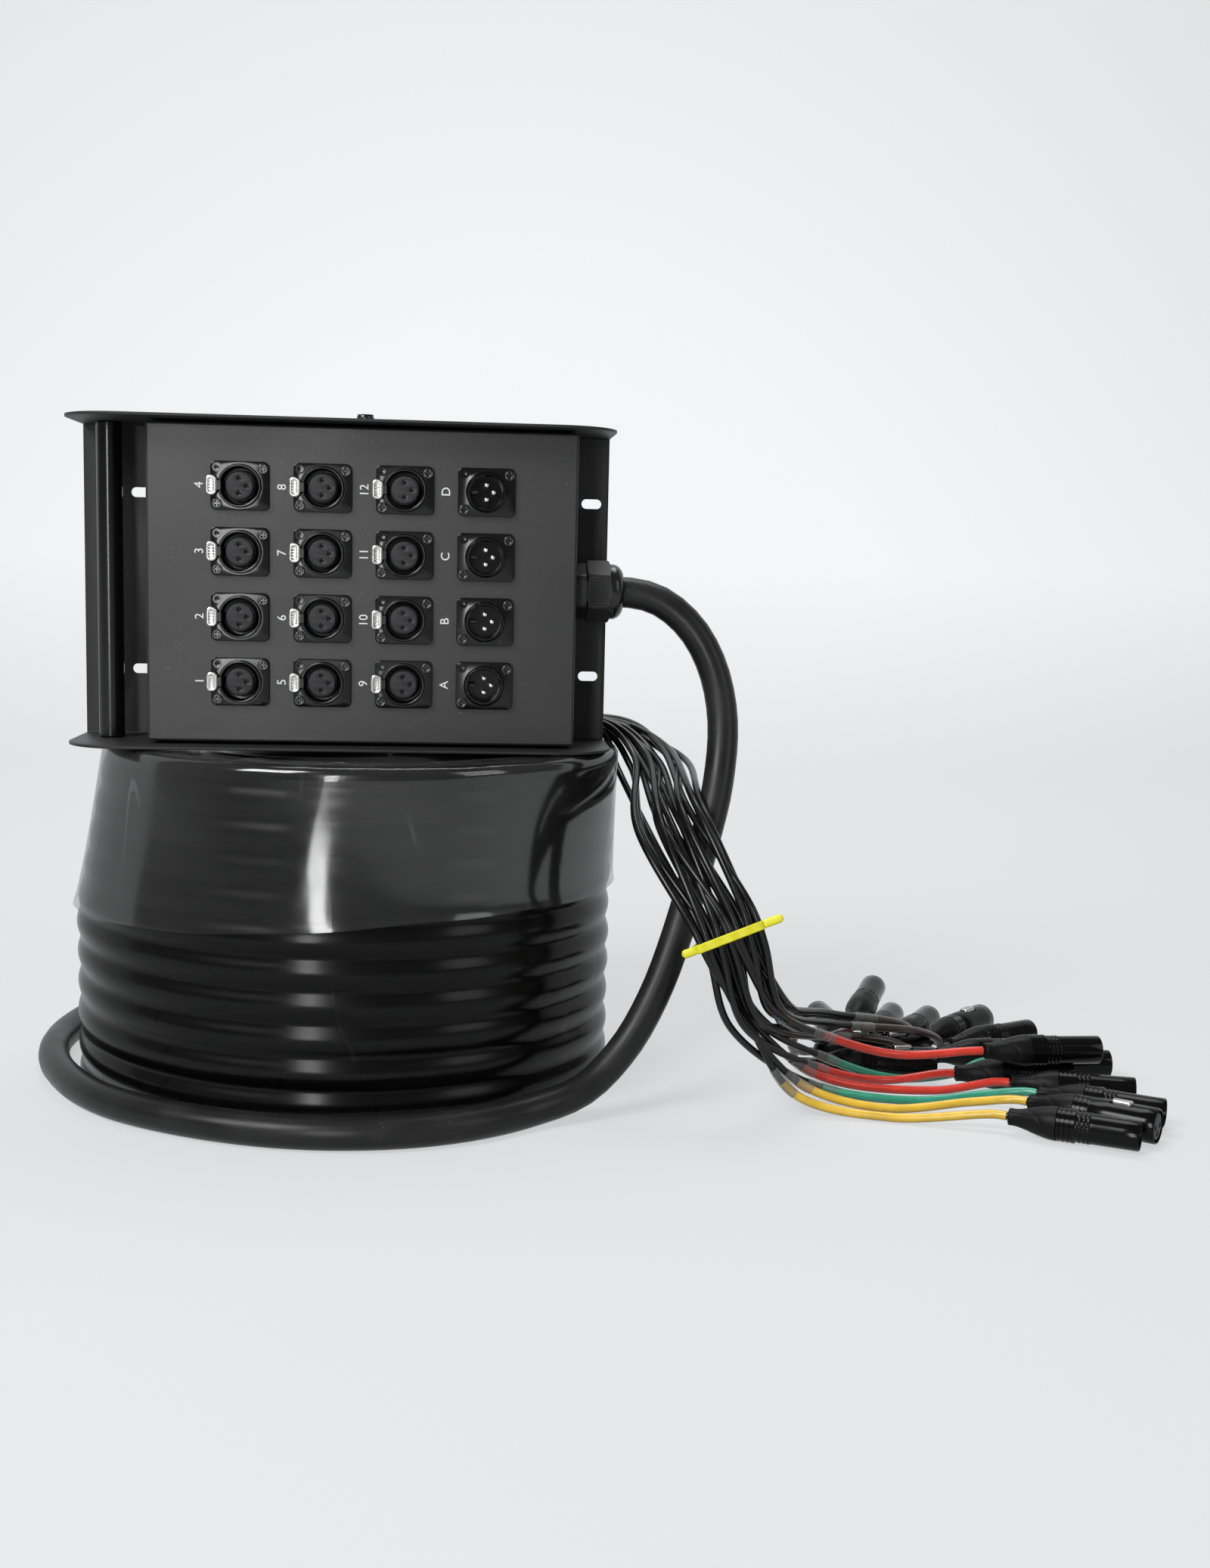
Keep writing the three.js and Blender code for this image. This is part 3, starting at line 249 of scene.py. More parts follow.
def smooth_route(points, spacing):
    """Centripetal Catmull-Rom through the points, straight on past both ends, then read off at even lengths."""
    p = np.asarray(points, float)
    p = np.vstack([2 * p[0] - p[1], p, 2 * p[-1] - p[-2]])
    step = np.sqrt(np.linalg.norm(np.diff(p, axis=0), axis=1))[:, None]
    slope = np.diff(p, axis=0) / step
    across = (p[2:] - p[:-2]) / (step[1:] + step[:-1])
    bend = slope[:-1] - across + slope[1:]
    leave, arrive = bend[:-1] * step[1:-1], bend[1:] * step[1:-1]
    a, b = p[1:-2], p[2:-1]
    t = np.linspace(0, 1, 24, endpoint=False)[:, None, None]
    fine = ((2 * t**3 - 3 * t**2 + 1) * a + (t**3 - 2 * t**2 + t) * leave
            + (3 * t**2 - 2 * t**3) * b + (t**3 - t**2) * arrive)
    fine = np.vstack([fine.transpose(1, 0, 2).reshape(-1, 3), p[-2:-1]])
    length = run_of(fine)
    even = np.linspace(0, length[-1], max(int(length[-1] / spacing), 8) + 1)
    return np.stack([np.interp(even, length, fine[:, k]) for k in range(3)], -1)


def carried_frames(route):
    """Across-vectors carried along a route without twist, by reflecting twice from each point to the next."""
    tangent = unit(np.gradient(route, axis=0))
    first = np.cross(tangent[0], [0, 0, 1.0])
    if np.linalg.norm(first) < 0.1:
        first = np.cross(tangent[0], [1.0, 0, 0])
    across = [unit(first)]
    for i in range(len(route) - 1):
        v = route[i + 1] - route[i]
        c = v @ v
        r = across[-1] - (2 / c) * (v @ across[-1]) * v
        t = tangent[i] - (2 / c) * (v @ tangent[i]) * v
        w = tangent[i + 1] - t
        d = w @ w
        across.append(unit(r - (2 / d) * (w @ r) * w) if d > 1e-12 else unit(r))
    across = np.array(across)
    return across, np.cross(tangent, across)


def tube(route, radius, sides, finish=0):
    """Circles of the given radius across a route, and the map of turn and length on each face corner."""
    side, up = carried_frames(route)
    angle = circle(sides)
    radius = np.broadcast_to(np.asarray(radius, float), len(route))[:, None, None]
    rings = side[:, None] * np.cos(angle)[None, :, None] + up[:, None] * np.sin(angle)[None, :, None]
    skin = band(route[:, None] + radius * rings, finish)
    length = run_of(route) * MM
    k, row = np.meshgrid(np.arange(sides), np.arange(len(route) - 1))
    u = np.stack([k, k + 1, k + 1, k], -1) / sides
    v = np.stack([length[row], length[row], length[row + 1], length[row + 1]], -1)
    walls = np.stack([u, v], -1).reshape(-1, 2)
    caps = np.zeros((2 * sides, 2))
    caps[sides:, 1] = length[-1]
    return skin, np.vstack([walls, caps])


# Finishes: nodes and shared effects first

def group(name, inputs, outputs):
    """An empty node group with named sockets."""
    tree = bpy.data.node_groups.new(name, "ShaderNodeTree")
    for label, kind, value in inputs:
        socket = tree.interface.new_socket(label, in_out="INPUT", socket_type="NodeSocket" + kind)
        if value is not None:
            socket.default_value = value
    for label, kind in outputs:
        tree.interface.new_socket(label, in_out="OUTPUT", socket_type="NodeSocket" + kind)
    return tree, tree.nodes.new("NodeGroupInput"), tree.nodes.new("NodeGroupOutput")


def feed(tree, socket, value):
    """A socket linked from another one, or set to a value; a colour of three numbers is made opaque."""
    if isinstance(value, bpy.types.NodeSocket):
        tree.links.new(value, socket)
    else:
        socket.default_value = (*value, 1.0) if socket.type == "RGBA" else value


def node(tree, kind, inputs=None, **attributes):
    """A node with its attributes set, then its inputs fed, by name or number."""
    made = tree.nodes.new("ShaderNode" + kind)
    for key, value in attributes.items():
        setattr(made, key, value)
    for key, value in (inputs or {}).items():
        feed(tree, made.inputs[key], value)
    return made


def effect(tree, which, vector, **values):
    """The outputs of a shared effect placed in a material, with its own values."""
    return node(tree, "Group", {"Vector": vector, **values}, node_tree=which).outputs


def calc(tree, operation, a, b=0.0, **attributes):
    """Two values put through one operation."""
    return node(tree, "Math", {0: a, 1: b}, operation=operation, **attributes).outputs[0]


def graded(tree, source, low, high, to_low=0.0, to_high=1.0):
    """A value spread from one range to another, and kept inside it."""
    return node(tree, "MapRange", {0: source, 1: low, 2: high, 3: to_low, 4: to_high}).outputs[0]


def mixed(tree, share, a, b):
    """Two colours mixed by a share."""
    return node(tree, "Mix", {0: share, 6: a, 7: b}, data_type="RGBA").outputs[2]


def cloudy(tree, vector, scale, detail, rough=0.5):
    """Smooth noise: its value, and its colour."""
    made = node(tree, "TexNoise", {"Vector": vector, "Scale": scale, "Detail": detail, "Roughness": rough})
    return made.outputs[0], made.outputs[1]


def on_object(tree):
    """A point's place on the object."""
    return node(tree, "TexCoord").outputs["Object"]


def far_from(tree, place, point):
    """Distance of a place from a point."""
    return node(tree, "VectorMath", {0: place, 1: point}, operation="DISTANCE").outputs["Value"]


def near_zero(tree, value, width):
    """One where a value is within a width of zero."""
    return calc(tree, "LESS_THAN", calc(tree, "ABSOLUTE", value), width)


def grain_group():
    """Fine grain: quick noise for the height, slow noise for patches of tone."""
    tree, given, out = group(
        "grain", [("Vector", "Vector", None), ("Fine", "Float", 900.0), ("Broad", "Float", 14.0)],
        [("Height", "Float"), ("Patches", "Float")])
    where, fine, broad = given.outputs[:3]
    feed(tree, out.inputs[0], cloudy(tree, where, fine, 3.0, 0.6)[0])
    feed(tree, out.inputs[1], graded(tree, cloudy(tree, where, broad, 4.0, 0.55)[0], 0.35, 0.65))
    return tree


def crease_group():
    """Thin creases: lines where a noise passes its middle value, bent by a slow noise and kept in patches."""
    tree, given, out = group(
        "creases", [("Vector", "Vector", None), ("Scale", "Float", 60.0), ("Width", "Float", 0.01)],
        [("Mask", "Float")])
    where, scale, width = given.outputs[:3]
    offset = node(tree, "VectorMath", {0: cloudy(tree, where, 9.0, 1.0)[1], "Scale": 0.05}, operation="SCALE")
    bent = node(tree, "VectorMath", {0: where, 1: offset.outputs[0]}, operation="ADD").outputs[0]
    thin = near_zero(tree, calc(tree, "SUBTRACT", cloudy(tree, bent, scale, 0.0)[0], 0.5), width)
    patch = graded(tree, cloudy(tree, where, 23.0, 2.0)[0], 0.52, 0.66)
    feed(tree, out.inputs[0], calc(tree, "MULTIPLY", thin, patch))
    return tree


def dust_group():
    """Dust specks: small cells kept where they are nearly at their points, thinned out by slow noise."""
    tree, given, out = group("dust", [("Vector", "Vector", None), ("Scale", "Float", 300.0)], [("Mask", "Float")])
    where, scale = given.outputs[:2]
    cells = node(tree, "TexVoronoi", {"Vector": where, "Scale": scale}).outputs[0]
    patch = graded(tree, cloudy(tree, where, 31.0, 3.0)[0], 0.5, 0.7)
    feed(tree, out.inputs[0], calc(tree, "MULTIPLY", graded(tree, cells, 0.16, 0.06), patch))
    return tree


GRAIN, CREASES, DUST = grain_group(), crease_group(), dust_group()
DUST_GREY, SCUFF_GREY, PRINT_BLACK = (0.5, 0.5, 0.49), (0.36, 0.36, 0.36), (0.01, 0.01, 0.01)
AS_IT_IS = (1, 1, 1)
RELIEF_DEPTH = 0.0004


def shader_of(material):
    """The main shader of a finish."""
    return material.node_tree.nodes["Principled BSDF"]


def paint_over(material, share, colour):
    """A finish's colour mixed towards another by a share."""
    tree = material.node_tree
    base = shader_of(material).inputs["Base Color"]
    feed(tree, base, mixed(tree, share, base.links[0].from_socket, colour))


def surface(name, colour, rough, metal=0.0, spread=0.18, fine=900.0, broad=14.0, bump=0.06, rough_spread=0.12,
            specular=0.5, dust=0.0, stretch=AS_IT_IS):
    """A finish with patches of tone, grain in its relief, and some dust."""
    material = bpy.data.materials.new(name)
    material.use_nodes = True
    tree = material.node_tree
    where = on_object(tree)
    if stretch != AS_IT_IS:
        where = node(tree, "Mapping", {"Vector": where, "Scale": stretch}).outputs[0]
    height, patches = effect(tree, GRAIN, where, Fine=fine, Broad=broad)[:2]
    darker, lighter = (tuple(c * share for c in colour) for share in (1 - spread, 1 + spread))
    relief = node(tree, "Bump", {"Height": height, "Strength": bump, "Distance": RELIEF_DEPTH})
    for key, value in (
        ("Base Color", mixed(tree, patches, darker, lighter)),
        ("Roughness", graded(tree, patches, 0, 1, rough - rough_spread / 2, rough + rough_spread / 2)),
        ("Normal", relief.outputs[0]), ("Metallic", metal), ("Specular IOR Level", specular),
    ):
        feed(tree, shader_of(material).inputs[key], value)
    if dust:
        paint_over(material, calc(tree, "MULTIPLY", effect(tree, DUST, where)["Mask"], dust), DUST_GREY)
    return material


# Painted shade: the chassis and the cover's walls wear a darker copy of the panel's powder coat, darkened to stand in
# for the shade they lie in.
POWDER_PAINTED_SHADE = surface("powder_coat", (0.017, 0.017, 0.0177), 0.46, spread=0.1, fine=1600, broad=9, bump=0.22,
                 specular=0.3, dust=0.12)
POWDER_PANEL = surface("powder_coat_panel", (0.024, 0.024, 0.025), 0.38, spread=0.12, fine=1600, broad=7, bump=0.2,
                       specular=0.4, dust=0.2)
BAR_BLACK = surface("bar_satin_black", (0.004, 0.004, 0.00416), 0.17, spread=0.2, fine=700, bump=0.03, specular=0.4)
SOCKET_GLOSS = surface("socket_gloss_black", (0.0045, 0.0045, 0.00468), 0.16, spread=0.25, fine=1300, bump=0.02,
                       specular=0.34, dust=0.25, rough_spread=0.08)
INSERT = surface("socket_insert", (0.022, 0.022, 0.024), 0.55, fine=1500, bump=0.06, specular=0.3, dust=0.2)
SCREW = surface("screw_black", (0.008, 0.008, 0.0085), 0.22, fine=1500, bump=0.03, specular=0.5)
NICKEL = surface("nickel_plate", (0.42, 0.42, 0.41), 0.3, metal=1.0, spread=0.06, fine=1100, broad=60, bump=0.03)
NECK = surface("latch_neck_black", (0.006, 0.006, 0.00624), 0.35, fine=1200, bump=0.03, specular=0.3)
# Painted shade: the contacts' silver is darkened to dark grey so that the socket and plug holes read as dark as the
# shade down in them.
CONTACT_PAINTED_SHADE = surface("contact_painted_shade", (0.12, 0.115, 0.105), 0.42, metal=1.0, spread=0.05, fine=1500, bump=0.02)
PIN = surface("pin_silver", (0.7, 0.69, 0.67), 0.3, metal=1.0, spread=0.05, fine=1500, bump=0.02)
NYLON = surface("gland_nylon", (0.02, 0.02, 0.0208), 0.42, fine=1200, bump=0.05, specular=0.3)
NYLON_GLOSS = surface("gland_dome_nylon", (0.006, 0.006, 0.006), 0.18, fine=900, bump=0.02, specular=0.45)
LOOM = surface("loom_sheath", (0.04, 0.04, 0.04), 0.6, fine=900, bump=0.12)
JACKET = surface("cable_jacket", (0.015, 0.015, 0.0155), 0.36, spread=0.22, fine=650, broad=30, bump=0.04,
                 specular=0.22, dust=0.12, rough_spread=0.12)
TAIL_JACKET = surface("tail_jacket", (0.0045, 0.0045, 0.00468), 0.26, spread=0.25, fine=900, broad=45, bump=0.04,
                      specular=0.34, rough_spread=0.12)
BOOT = surface("breakout_boot", (0.006, 0.006, 0.00624), 0.34, fine=500, broad=40, bump=0.1, specular=0.24)
PLUG_RUBBER = surface("plug_boot_rubber", (0.005, 0.005, 0.0052), 0.42, fine=1000, bump=0.05, specular=0.13, dust=0.1)
PLUG_SHELL = surface("plug_shell_black", (0.003, 0.003, 0.0031), 0.16, spread=0.25, fine=1200, bump=0.02,
                     specular=0.15, dust=0.08, rough_spread=0.06)
TIE = surface("tie_yellow", (0.76, 0.72, 0.025), 0.38, spread=0.07, fine=600, broad=120, bump=0.06, specular=0.45)
PAINT = surface("label_white", (0.78, 0.78, 0.77), 0.55, spread=0.06, fine=2200, broad=500, bump=0.1)
SLEEVE_COLOURS = {
    "yellow": (0.72, 0.46, 0.045), "red": (0.62, 0.04, 0.024), "green": (0.035, 0.30, 0.19),
    "brown": (0.045, 0.031, 0.024),
}
SLEEVE_MARK_PITCH, SLEEVE_MARK_SHARE = 0.017, 0.05
SLEEVE_MARK_TURN, SLEEVE_MARK_HALF = 0.62, 0.055
SCUFFED_CORNER = (-0.058, -0.072, 0.36)


def panel_scuffs(material):
    """Small pale flecks near the panel's top left corner, thinning out to the right and downwards."""
    tree = material.node_tree
    place = on_object(tree)
    near = graded(tree, far_from(tree, place, SCUFFED_CORNER), 0.035, 0.012)
    paint_over(material, calc(tree, "MULTIPLY", effect(tree, DUST, place, Scale=620.0)["Mask"], near), SCUFF_GREY)


panel_scuffs(POWDER_PANEL)


def sleeve_finish(name, colour):
    """Glossy coloured sleeving with small dark marks, evenly spaced along it, in a narrow strip of its turn."""
    material = surface("sleeve_" + name, colour, 0.26, spread=0.1, fine=900, broad=80, bump=0.03, specular=0.55)
    tree = material.node_tree
    turn, along = node(tree, "SeparateXYZ", {0: node(tree, "UVMap", uv_map="along").outputs[0]}).outputs[:2]
    share = calc(tree, "FRACT", calc(tree, "DIVIDE", along, SLEEVE_MARK_PITCH))
    here = calc(tree, "LESS_THAN", share, SLEEVE_MARK_SHARE)
    strip = near_zero(tree, calc(tree, "SUBTRACT", turn, SLEEVE_MARK_TURN), SLEEVE_MARK_HALF)
    paint_over(material, calc(tree, "MULTIPLY", here, strip), PRINT_BLACK)
    return material


SLEEVES = {name: sleeve_finish(name, colour) for name, colour in SLEEVE_COLOURS.items()}


def clear_film(name, tone, rough, facing_alpha, edge_alpha, haze, stretch, index):
    """See-through film: its cover grows towards grazing view, and with haze patches and fine creases.
    Cover takes gloss away too, so the index is higher than a film's, and the two together give a film's gloss."""
    material = surface(name, tone, rough, spread=0.25, fine=260, broad=16, bump=0.04, stretch=stretch,
                       rough_spread=0.06)
    tree = material.node_tree
    long_way = node(tree, "Mapping", {"Vector": on_object(tree), "Scale": stretch}).outputs[0]
    creases = effect(tree, CREASES, long_way, Scale=26.0, Width=0.012)["Mask"]
    grazing = node(tree, "LayerWeight", {"Blend": 0.35}).outputs[1]
    cover = graded(tree, grazing, 0.0, 0.9, facing_alpha, edge_alpha)
    cover = calc(tree, "ADD", cover, graded(tree, grazing, 0.86, 1.0, 0.0, 0.35))
    cover = calc(tree, "ADD", cover, graded(tree, cloudy(tree, long_way, 11.0, 4.0)[0], 0.42, 0.7, 0.0, haze))
    cover = calc(tree, "ADD", cover, calc(tree, "MULTIPLY", creases, 0.4), use_clamp=True)
    feed(tree, shader_of(material).inputs["Alpha"], cover)
    shader_of(material).inputs["IOR"].default_value = index
    return material


FILM_TIGHT = clear_film("film_tight", (0.002, 0.002, 0.0022), 0.2, 0.4, 0.6, 0.02, (1, 1, 0.5), 1.36)
FILM_LOOSE = clear_film("film_loose", (0.03, 0.03, 0.0305), 0.11, 0.15, 0.42, 0.1, (1, 1, 0.35), 2.3)
SHRINK_CLEAR = clear_film("shrink_clear", (0.3, 0.3, 0.3), 0.2, 0.22, 0.6, 0.1, (1, 1, 1), 1.6)


# Box: chassis, cover and bar

SHEET = 1.5
CHASSIS_LENGTH = 298.0
CHASSIS_BOTTOM, CHASSIS_TOP = 193.2, 370.4
CHEEK_FRONT, CHASSIS_BACK = -89.3, -10.3
CHEEK_CORNER = 33.0
BEND = 2.0
SLOT_LENGTH, SLOT_HEIGHT = 11.5, 5.5
SLOTS = [(x, z) for x in (139.2, -117.0) for z in (331.8, 231.8)]
COVER_LEFT, COVER_RIGHT = -104.7, 127.3
COVER_BOTTOM, COVER_TOP = 196.3, 367.3
COVER_FRONT, COVER_BACK = -71.8, -12.1
COVER_MIDDLE = (11.3, 281.8)
COVER_EDGE = 1.4
COVER_SCREW_Y = -61.8
BAR_X, BAR_Y = -130.0, -36.8
BAR_RADIUS, BAR_END_RADIUS, BAR_EDGE = 7.0, 4.0, 0.6
SEAT_GAP = 0.3
SOCKET_HOLE_RADIUS = 12.1
GLAND_AXIS = (-41.8, 281.8)


def chassis_skin():
    """A flat blank, cut with its round corners and slots, then bent: a point's place along the blank turns into a run
    along the top cheek, a quarter circle, the back plate, a quarter circle and the bottom cheek."""
    cheek = CHASSIS_BACK - BEND - CHEEK_FRONT
    middle = BEND - SHEET / 2
    arc = middle * np.pi / 2
    plate = CHASSIS_TOP - CHASSIS_BOTTOM - 2 * BEND
    marks = np.cumsum([0, cheek, arc, plate, arc, cheek])
    half, total = CHASSIS_LENGTH / 2, marks[-1]
    quarter = np.linspace(0, np.pi / 2, 15)
    x, y = half - CHEEK_CORNER + CHEEK_CORNER * np.sin(quarter), CHEEK_CORNER - CHEEK_CORNER * np.cos(quarter)
    right = np.stack([x, y], -1)
    low = np.stack([x[::-1], total - y[::-1]], -1)
    outline = np.vstack([right, low, low[::-1] * [-1, 1], right[::-1] * [-1, 1]])
    slot = rectangle(SLOT_LENGTH, SLOT_HEIGHT, 2.7, 6, 2)
    slots = [slot + [px, marks[2] + CHASSIS_TOP - BEND - pz] for px, pz in SLOTS]
    points, faces, _ = cut_plate([outline, *slots], SHEET, 0.16)
    blank = bpy.data.meshes.new("blank")
    blank.from_pydata(points.tolist(), [], faces)
    with worked_on(blank) as work:
        for start in (marks[1], marks[3]):
            for s in start + arc * np.linspace(0, 1, 7):
                everything = work.verts[:] + work.edges[:] + work.faces[:]
                bmesh.ops.bisect_plane(work, geom=everything, plane_co=(0, s, 0), plane_no=(0, 1, 0), dist=1e-5)
    points, faces = taken_from(blank)
    across, s, out = points.T
    upper, lower = (s - marks[1]) / middle, (s - marks[3]) / middle
    reach = middle + out
    inner_y, top, bottom = CHASSIS_BACK - BEND, CHASSIS_TOP - BEND, CHASSIS_BOTTOM + BEND
    stretches = [s < marks[1], s < marks[2], s < marks[3], s < marks[4]]
    y = np.select(
        stretches,
        [CHEEK_FRONT + s, inner_y + reach * np.sin(upper), inner_y + reach, inner_y + reach * np.cos(lower)],
        inner_y - (s - marks[4]))
    z = np.select(
        stretches, [top + reach, top + reach * np.cos(upper), top - (s - marks[2]), bottom - reach * np.sin(lower)],
        bottom - reach)
    return np.stack([across, y, z], -1), faces, 0


SOCKET_PITCH_X, SOCKET_PITCH_Z = 44, 35
SOCKETS = []
for column in range(4):
    for row in range(4):
        label = "DCBA"[row] if column == 3 else str(4 * column + 4 - row)
        place = (COVER_MIDDLE[0] + SOCKET_PITCH_X * (column - 1.5), COVER_MIDDLE[1] + SOCKET_PITCH_Z * (1.5 - row))
        SOCKETS.append((label, column == 3, *place))


def cover_skins():
    """The panel, cut for the sockets, and the four walls: one outline carried round the front edge and back again."""
    width, height = COVER_RIGHT - COVER_LEFT, COVER_TOP - COVER_BOTTOM
    holes = [round_outline(SOCKET_HOLE_RADIUS, 40, (x, z)) for _, _, x, z in SOCKETS]
    face = rectangle(width - 2 * COVER_EDGE, height - 2 * COVER_EDGE, 0.05, 1, 1) + COVER_MIDDLE
    panel = front_plate([face, *holes], SHEET, 0.0001, COVER_FRONT, 1)
    turn = np.linspace(0, np.pi / 2, 7)
    shell = [(COVER_EDGE * (1 - math.sin(a)), COVER_FRONT + COVER_EDGE * (1 - math.cos(a)), COVER_EDGE * math.sin(a))
             for a in turn]
    inner_y = COVER_FRONT + SHEET
    shell += [(0, COVER_BACK, COVER_EDGE), (SHEET, COVER_BACK, 0.3), (SHEET, inner_y, 0.3),
              (COVER_EDGE, inner_y, 0.1)]
    rings = []
    for inset, y, radius in shell:
        flat = rectangle(width - 2 * inset, height - 2 * inset, max(radius, 0.05), 5, 1) + COVER_MIDDLE
        rings.append(np.stack([flat[:, 0], np.full(len(flat), y), flat[:, 1]], -1))
    return [panel, band(rings, joined=True)]


def cross_head(radius, height, bevel, finish=0):
    """A screw head facing -Y from y = 0: a bevelled disc with a plus-shaped hole, and the hole's floor."""
    arm, width = radius * 0.62, radius * 0.15
    quarter = np.array([[arm, -width], [arm, width], [width, width]])
    plus = np.concatenate([quarter @ [[c, s], [-s, c]] for c, s in ((1, 0), (0, 1), (-1, 0), (0, -1))])
    head = front_plate([round_outline(radius, 28), plus], height, bevel, -height, finish)
    floor = lathe([(-0.1, 0), (-0.1, arm * 1.1), (0.12, arm * 1.1), (0.12, 0)], 16, finish)
    return [head, turned(floor, *FRONT)]


def build_box():
    """Chassis, cover, bar and the screws that hold them."""
    # The chassis and the cover's walls take the darker copy of the powder coat, which paints shade on them.
    make("chassis_folded_sheet", [chassis_skin()], [POWDER_PAINTED_SHADE], replaces=["chassis"])
    make("cover_tray", cover_skins(), [POWDER_PAINTED_SHADE, POWDER_PANEL], replaces=["cover"])
    low, high = CHASSIS_BOTTOM + SHEET + SEAT_GAP, CHASSIS_TOP - SHEET - SEAT_GAP
    profile = [(low, BAR_END_RADIUS), (low, BAR_RADIUS - BAR_EDGE), (low + BAR_EDGE, BAR_RADIUS),
               (high - BAR_EDGE, BAR_RADIUS), (high, BAR_RADIUS - BAR_EDGE), (high, BAR_END_RADIUS)]
    profile = [(CHASSIS_BOTTOM, 0), (CHASSIS_BOTTOM, BAR_END_RADIUS), *profile,
               (CHASSIS_TOP, BAR_END_RADIUS), (CHASSIS_TOP, 0)]
    bar = moved(turned(lathe(profile, 64), 2, 3, 1), (BAR_X, BAR_Y, 0))
    make("carrying_bar_rod", [bar], [BAR_BLACK], replaces=["carrying_bar"])
    for name, place, way, radius, height, bevel in (
        ("cover_screw_top", (COVER_MIDDLE[0], COVER_SCREW_Y, CHASSIS_TOP), UP, 4.7, 4.2, 1.5),
        ("cover_screw_bottom", (COVER_MIDDLE[0], COVER_SCREW_Y, CHASSIS_BOTTOM), DOWN, 3.2, 0.25, 0.1),
        ("bar_screw_top", (BAR_X, BAR_Y, CHASSIS_TOP), UP, 3.6, 0.7, 0.25),
    ):
        skins = [moved(turned(s, *way), place) for s in cross_head(radius, height, bevel)]
        make(name, skins, [SCREW])


# Panel sockets and their latches, about their own axis, the panel's front face at y = 0

FLANGE_WIDTH, FLANGE_HEIGHT, FLANGE_CORNER = 31, 26, 3
FLANGE_BACK, FLANGE_FRONT = -0.3, -2.5
RING_FRONT = -4.3
SOCKET_BACK = 19.7
SOCKET_RADIUS = 11.6
NOTCH_HALF = 3.904
FLANGE_SCREWS = ((12.45, 9.2), (-12.0, -9.55))
DIMPLE_AT = (-11.9, 0, 9.6)
LATCH_X = -14.6
CAP_BACK, CAP_FRONT = -4.9, -6.7
CONTACTS = [(0, 3.95), (3.95, 0), (0, -3.95)]
BACK_ROWS = [(SOCKET_RADIUS, SOCKET_BACK), (SOCKET_RADIUS, FLANGE_BACK)]
FLANGE_LEVELS = [(0, FLANGE_BACK), (0, -2.1), (0.12, -2.35), (0.4, FLANGE_FRONT)]


def socket_body(back, front):
    """Circles behind and before the flange, through its own outline's angles. Rows are (radius, depth), and two more
    numbers give both within the latch's notch."""
    base = rectangle(FLANGE_WIDTH, FLANGE_HEIGHT, FLANGE_CORNER, 7, 24)
    angle = np.arctan2(base[:, 1], base[:, 0])
    in_notch = (np.abs(base[:, 1]) < NOTCH_HALF) & (base[:, 0] < 0)

    def circles(rows):
        sizes = [(np.where(in_notch, row[-2], row[0]), np.where(in_notch, row[-1], row[1])) for row in rows]
        return [np.stack([radius * np.cos(angle), y, radius * np.sin(angle)], -1) for radius, y in sizes]

    outline = pressed(FLANGE_WIDTH, FLANGE_HEIGHT, FLANGE_CORNER, FLANGE_LEVELS, 0, 7, 24)[0]
    return band([*circles(back), *outline.reshape(len(FLANGE_LEVELS), -1, 3), *circles(front)])


def insert_skins(holes, front, depth, finish, contact):
    """A socket's insert: a bevelled disc with three holes and a back, and a metal contact down each hole."""
    back = -front - depth
    skins = [front_plate([round_outline(7.2, 56), *[round_outline(1.5, 20, at) for at in holes]], depth, 0.3, front,
                         finish)]
    skins.append(turned(lathe([(back, 0), (back, 7.0), (back + 0.4, 7.0), (back + 0.4, 0)], 24, finish), *FRONT))
    rows = [(-front - 3.0, 1.45), (-front - 3.0, 1.1), (back + 0.2, 1.1), (back + 0.2, 1.45)]
    sleeve = turned(lathe(rows, 16, contact, joined=True), *FRONT)
    return skins + [moved(sleeve, (x, 0, z)) for x, z in holes]


def socket_skins(is_male):
    """A panel socket: flange and body, insert or pins, two screws and a dimple."""
    if is_male:
        skins = [socket_body(BACK_ROWS, [
            (11.3, FLANGE_FRONT), (11.0, -2.6), (10.6, -3.6), (10.3, -4.1), (10.0, RING_FRONT), (9.4, RING_FRONT),
            (9.05, -4.0), (8.7, -2.6), (8.6, 9.7)])]
        pin = turned(lathe([(-9.8, 0), (-9.8, 1.2), (0.5, 1.2), (1.0, 1.05), (1.25, 0.7), (1.35, 0)], 16, 3), *FRONT)
        skins += [moved(pin, (x, 0, z)) for x, z in CONTACTS]
        skins.append(moved(pressed(4.4, 2.0, 0.8, [(0, 9.7), (0, 1.5), (0.3, 1.1)], 1), (-6.6, 0, 0)))
    else:
        skins = [socket_body([BACK_ROWS[0], (*BACK_ROWS[1], 12.6, FLANGE_BACK)], [
            (12.1, FLANGE_FRONT, 12.5, FLANGE_FRONT), (11.75, FLANGE_FRONT, 12.45, -2.45), (11.6, -3.9, 12.4, -2.4),
            (11.35, -4.2, 12.4, -2.3), (11.0, RING_FRONT, 12.4, -2.2), (10.6, RING_FRONT, 12.35, -2.1),
            (10.25, -4.1, 12.3, -2.0), (10.05, -3.6, 12.3, -1.0), (10.0, 6.7, 12.3, 6.7), (9.2, 6.9, 9.2, 9.2)])]
        skins += insert_skins(CONTACTS, -3.5, 8.0, 1, 3)
        collar = lathe([(-6.8, 7.2), (-6.8, 8.1), (-1.0, 8.1), (-0.6, 7.8), (-0.6, 7.2)], 40, 1)
        skins.append(turned(collar, *FRONT))
    for x, z in FLANGE_SCREWS:
        skins += [moved(s, (x, FLANGE_FRONT, z)) for s in cross_head(2.8, 1.0, 0.35, 2)]
    dimple = lathe([(2.0, 0), (2.0, 2.5), (2.55, 2.5), (2.62, 2.42), (2.62, 2.1), (2.52, 2.0), (2.52, 0.4),
                    (2.4, 0)], 28)
    skins.append(moved(turned(dimple, *FRONT), DIMPLE_AT))
    return skins


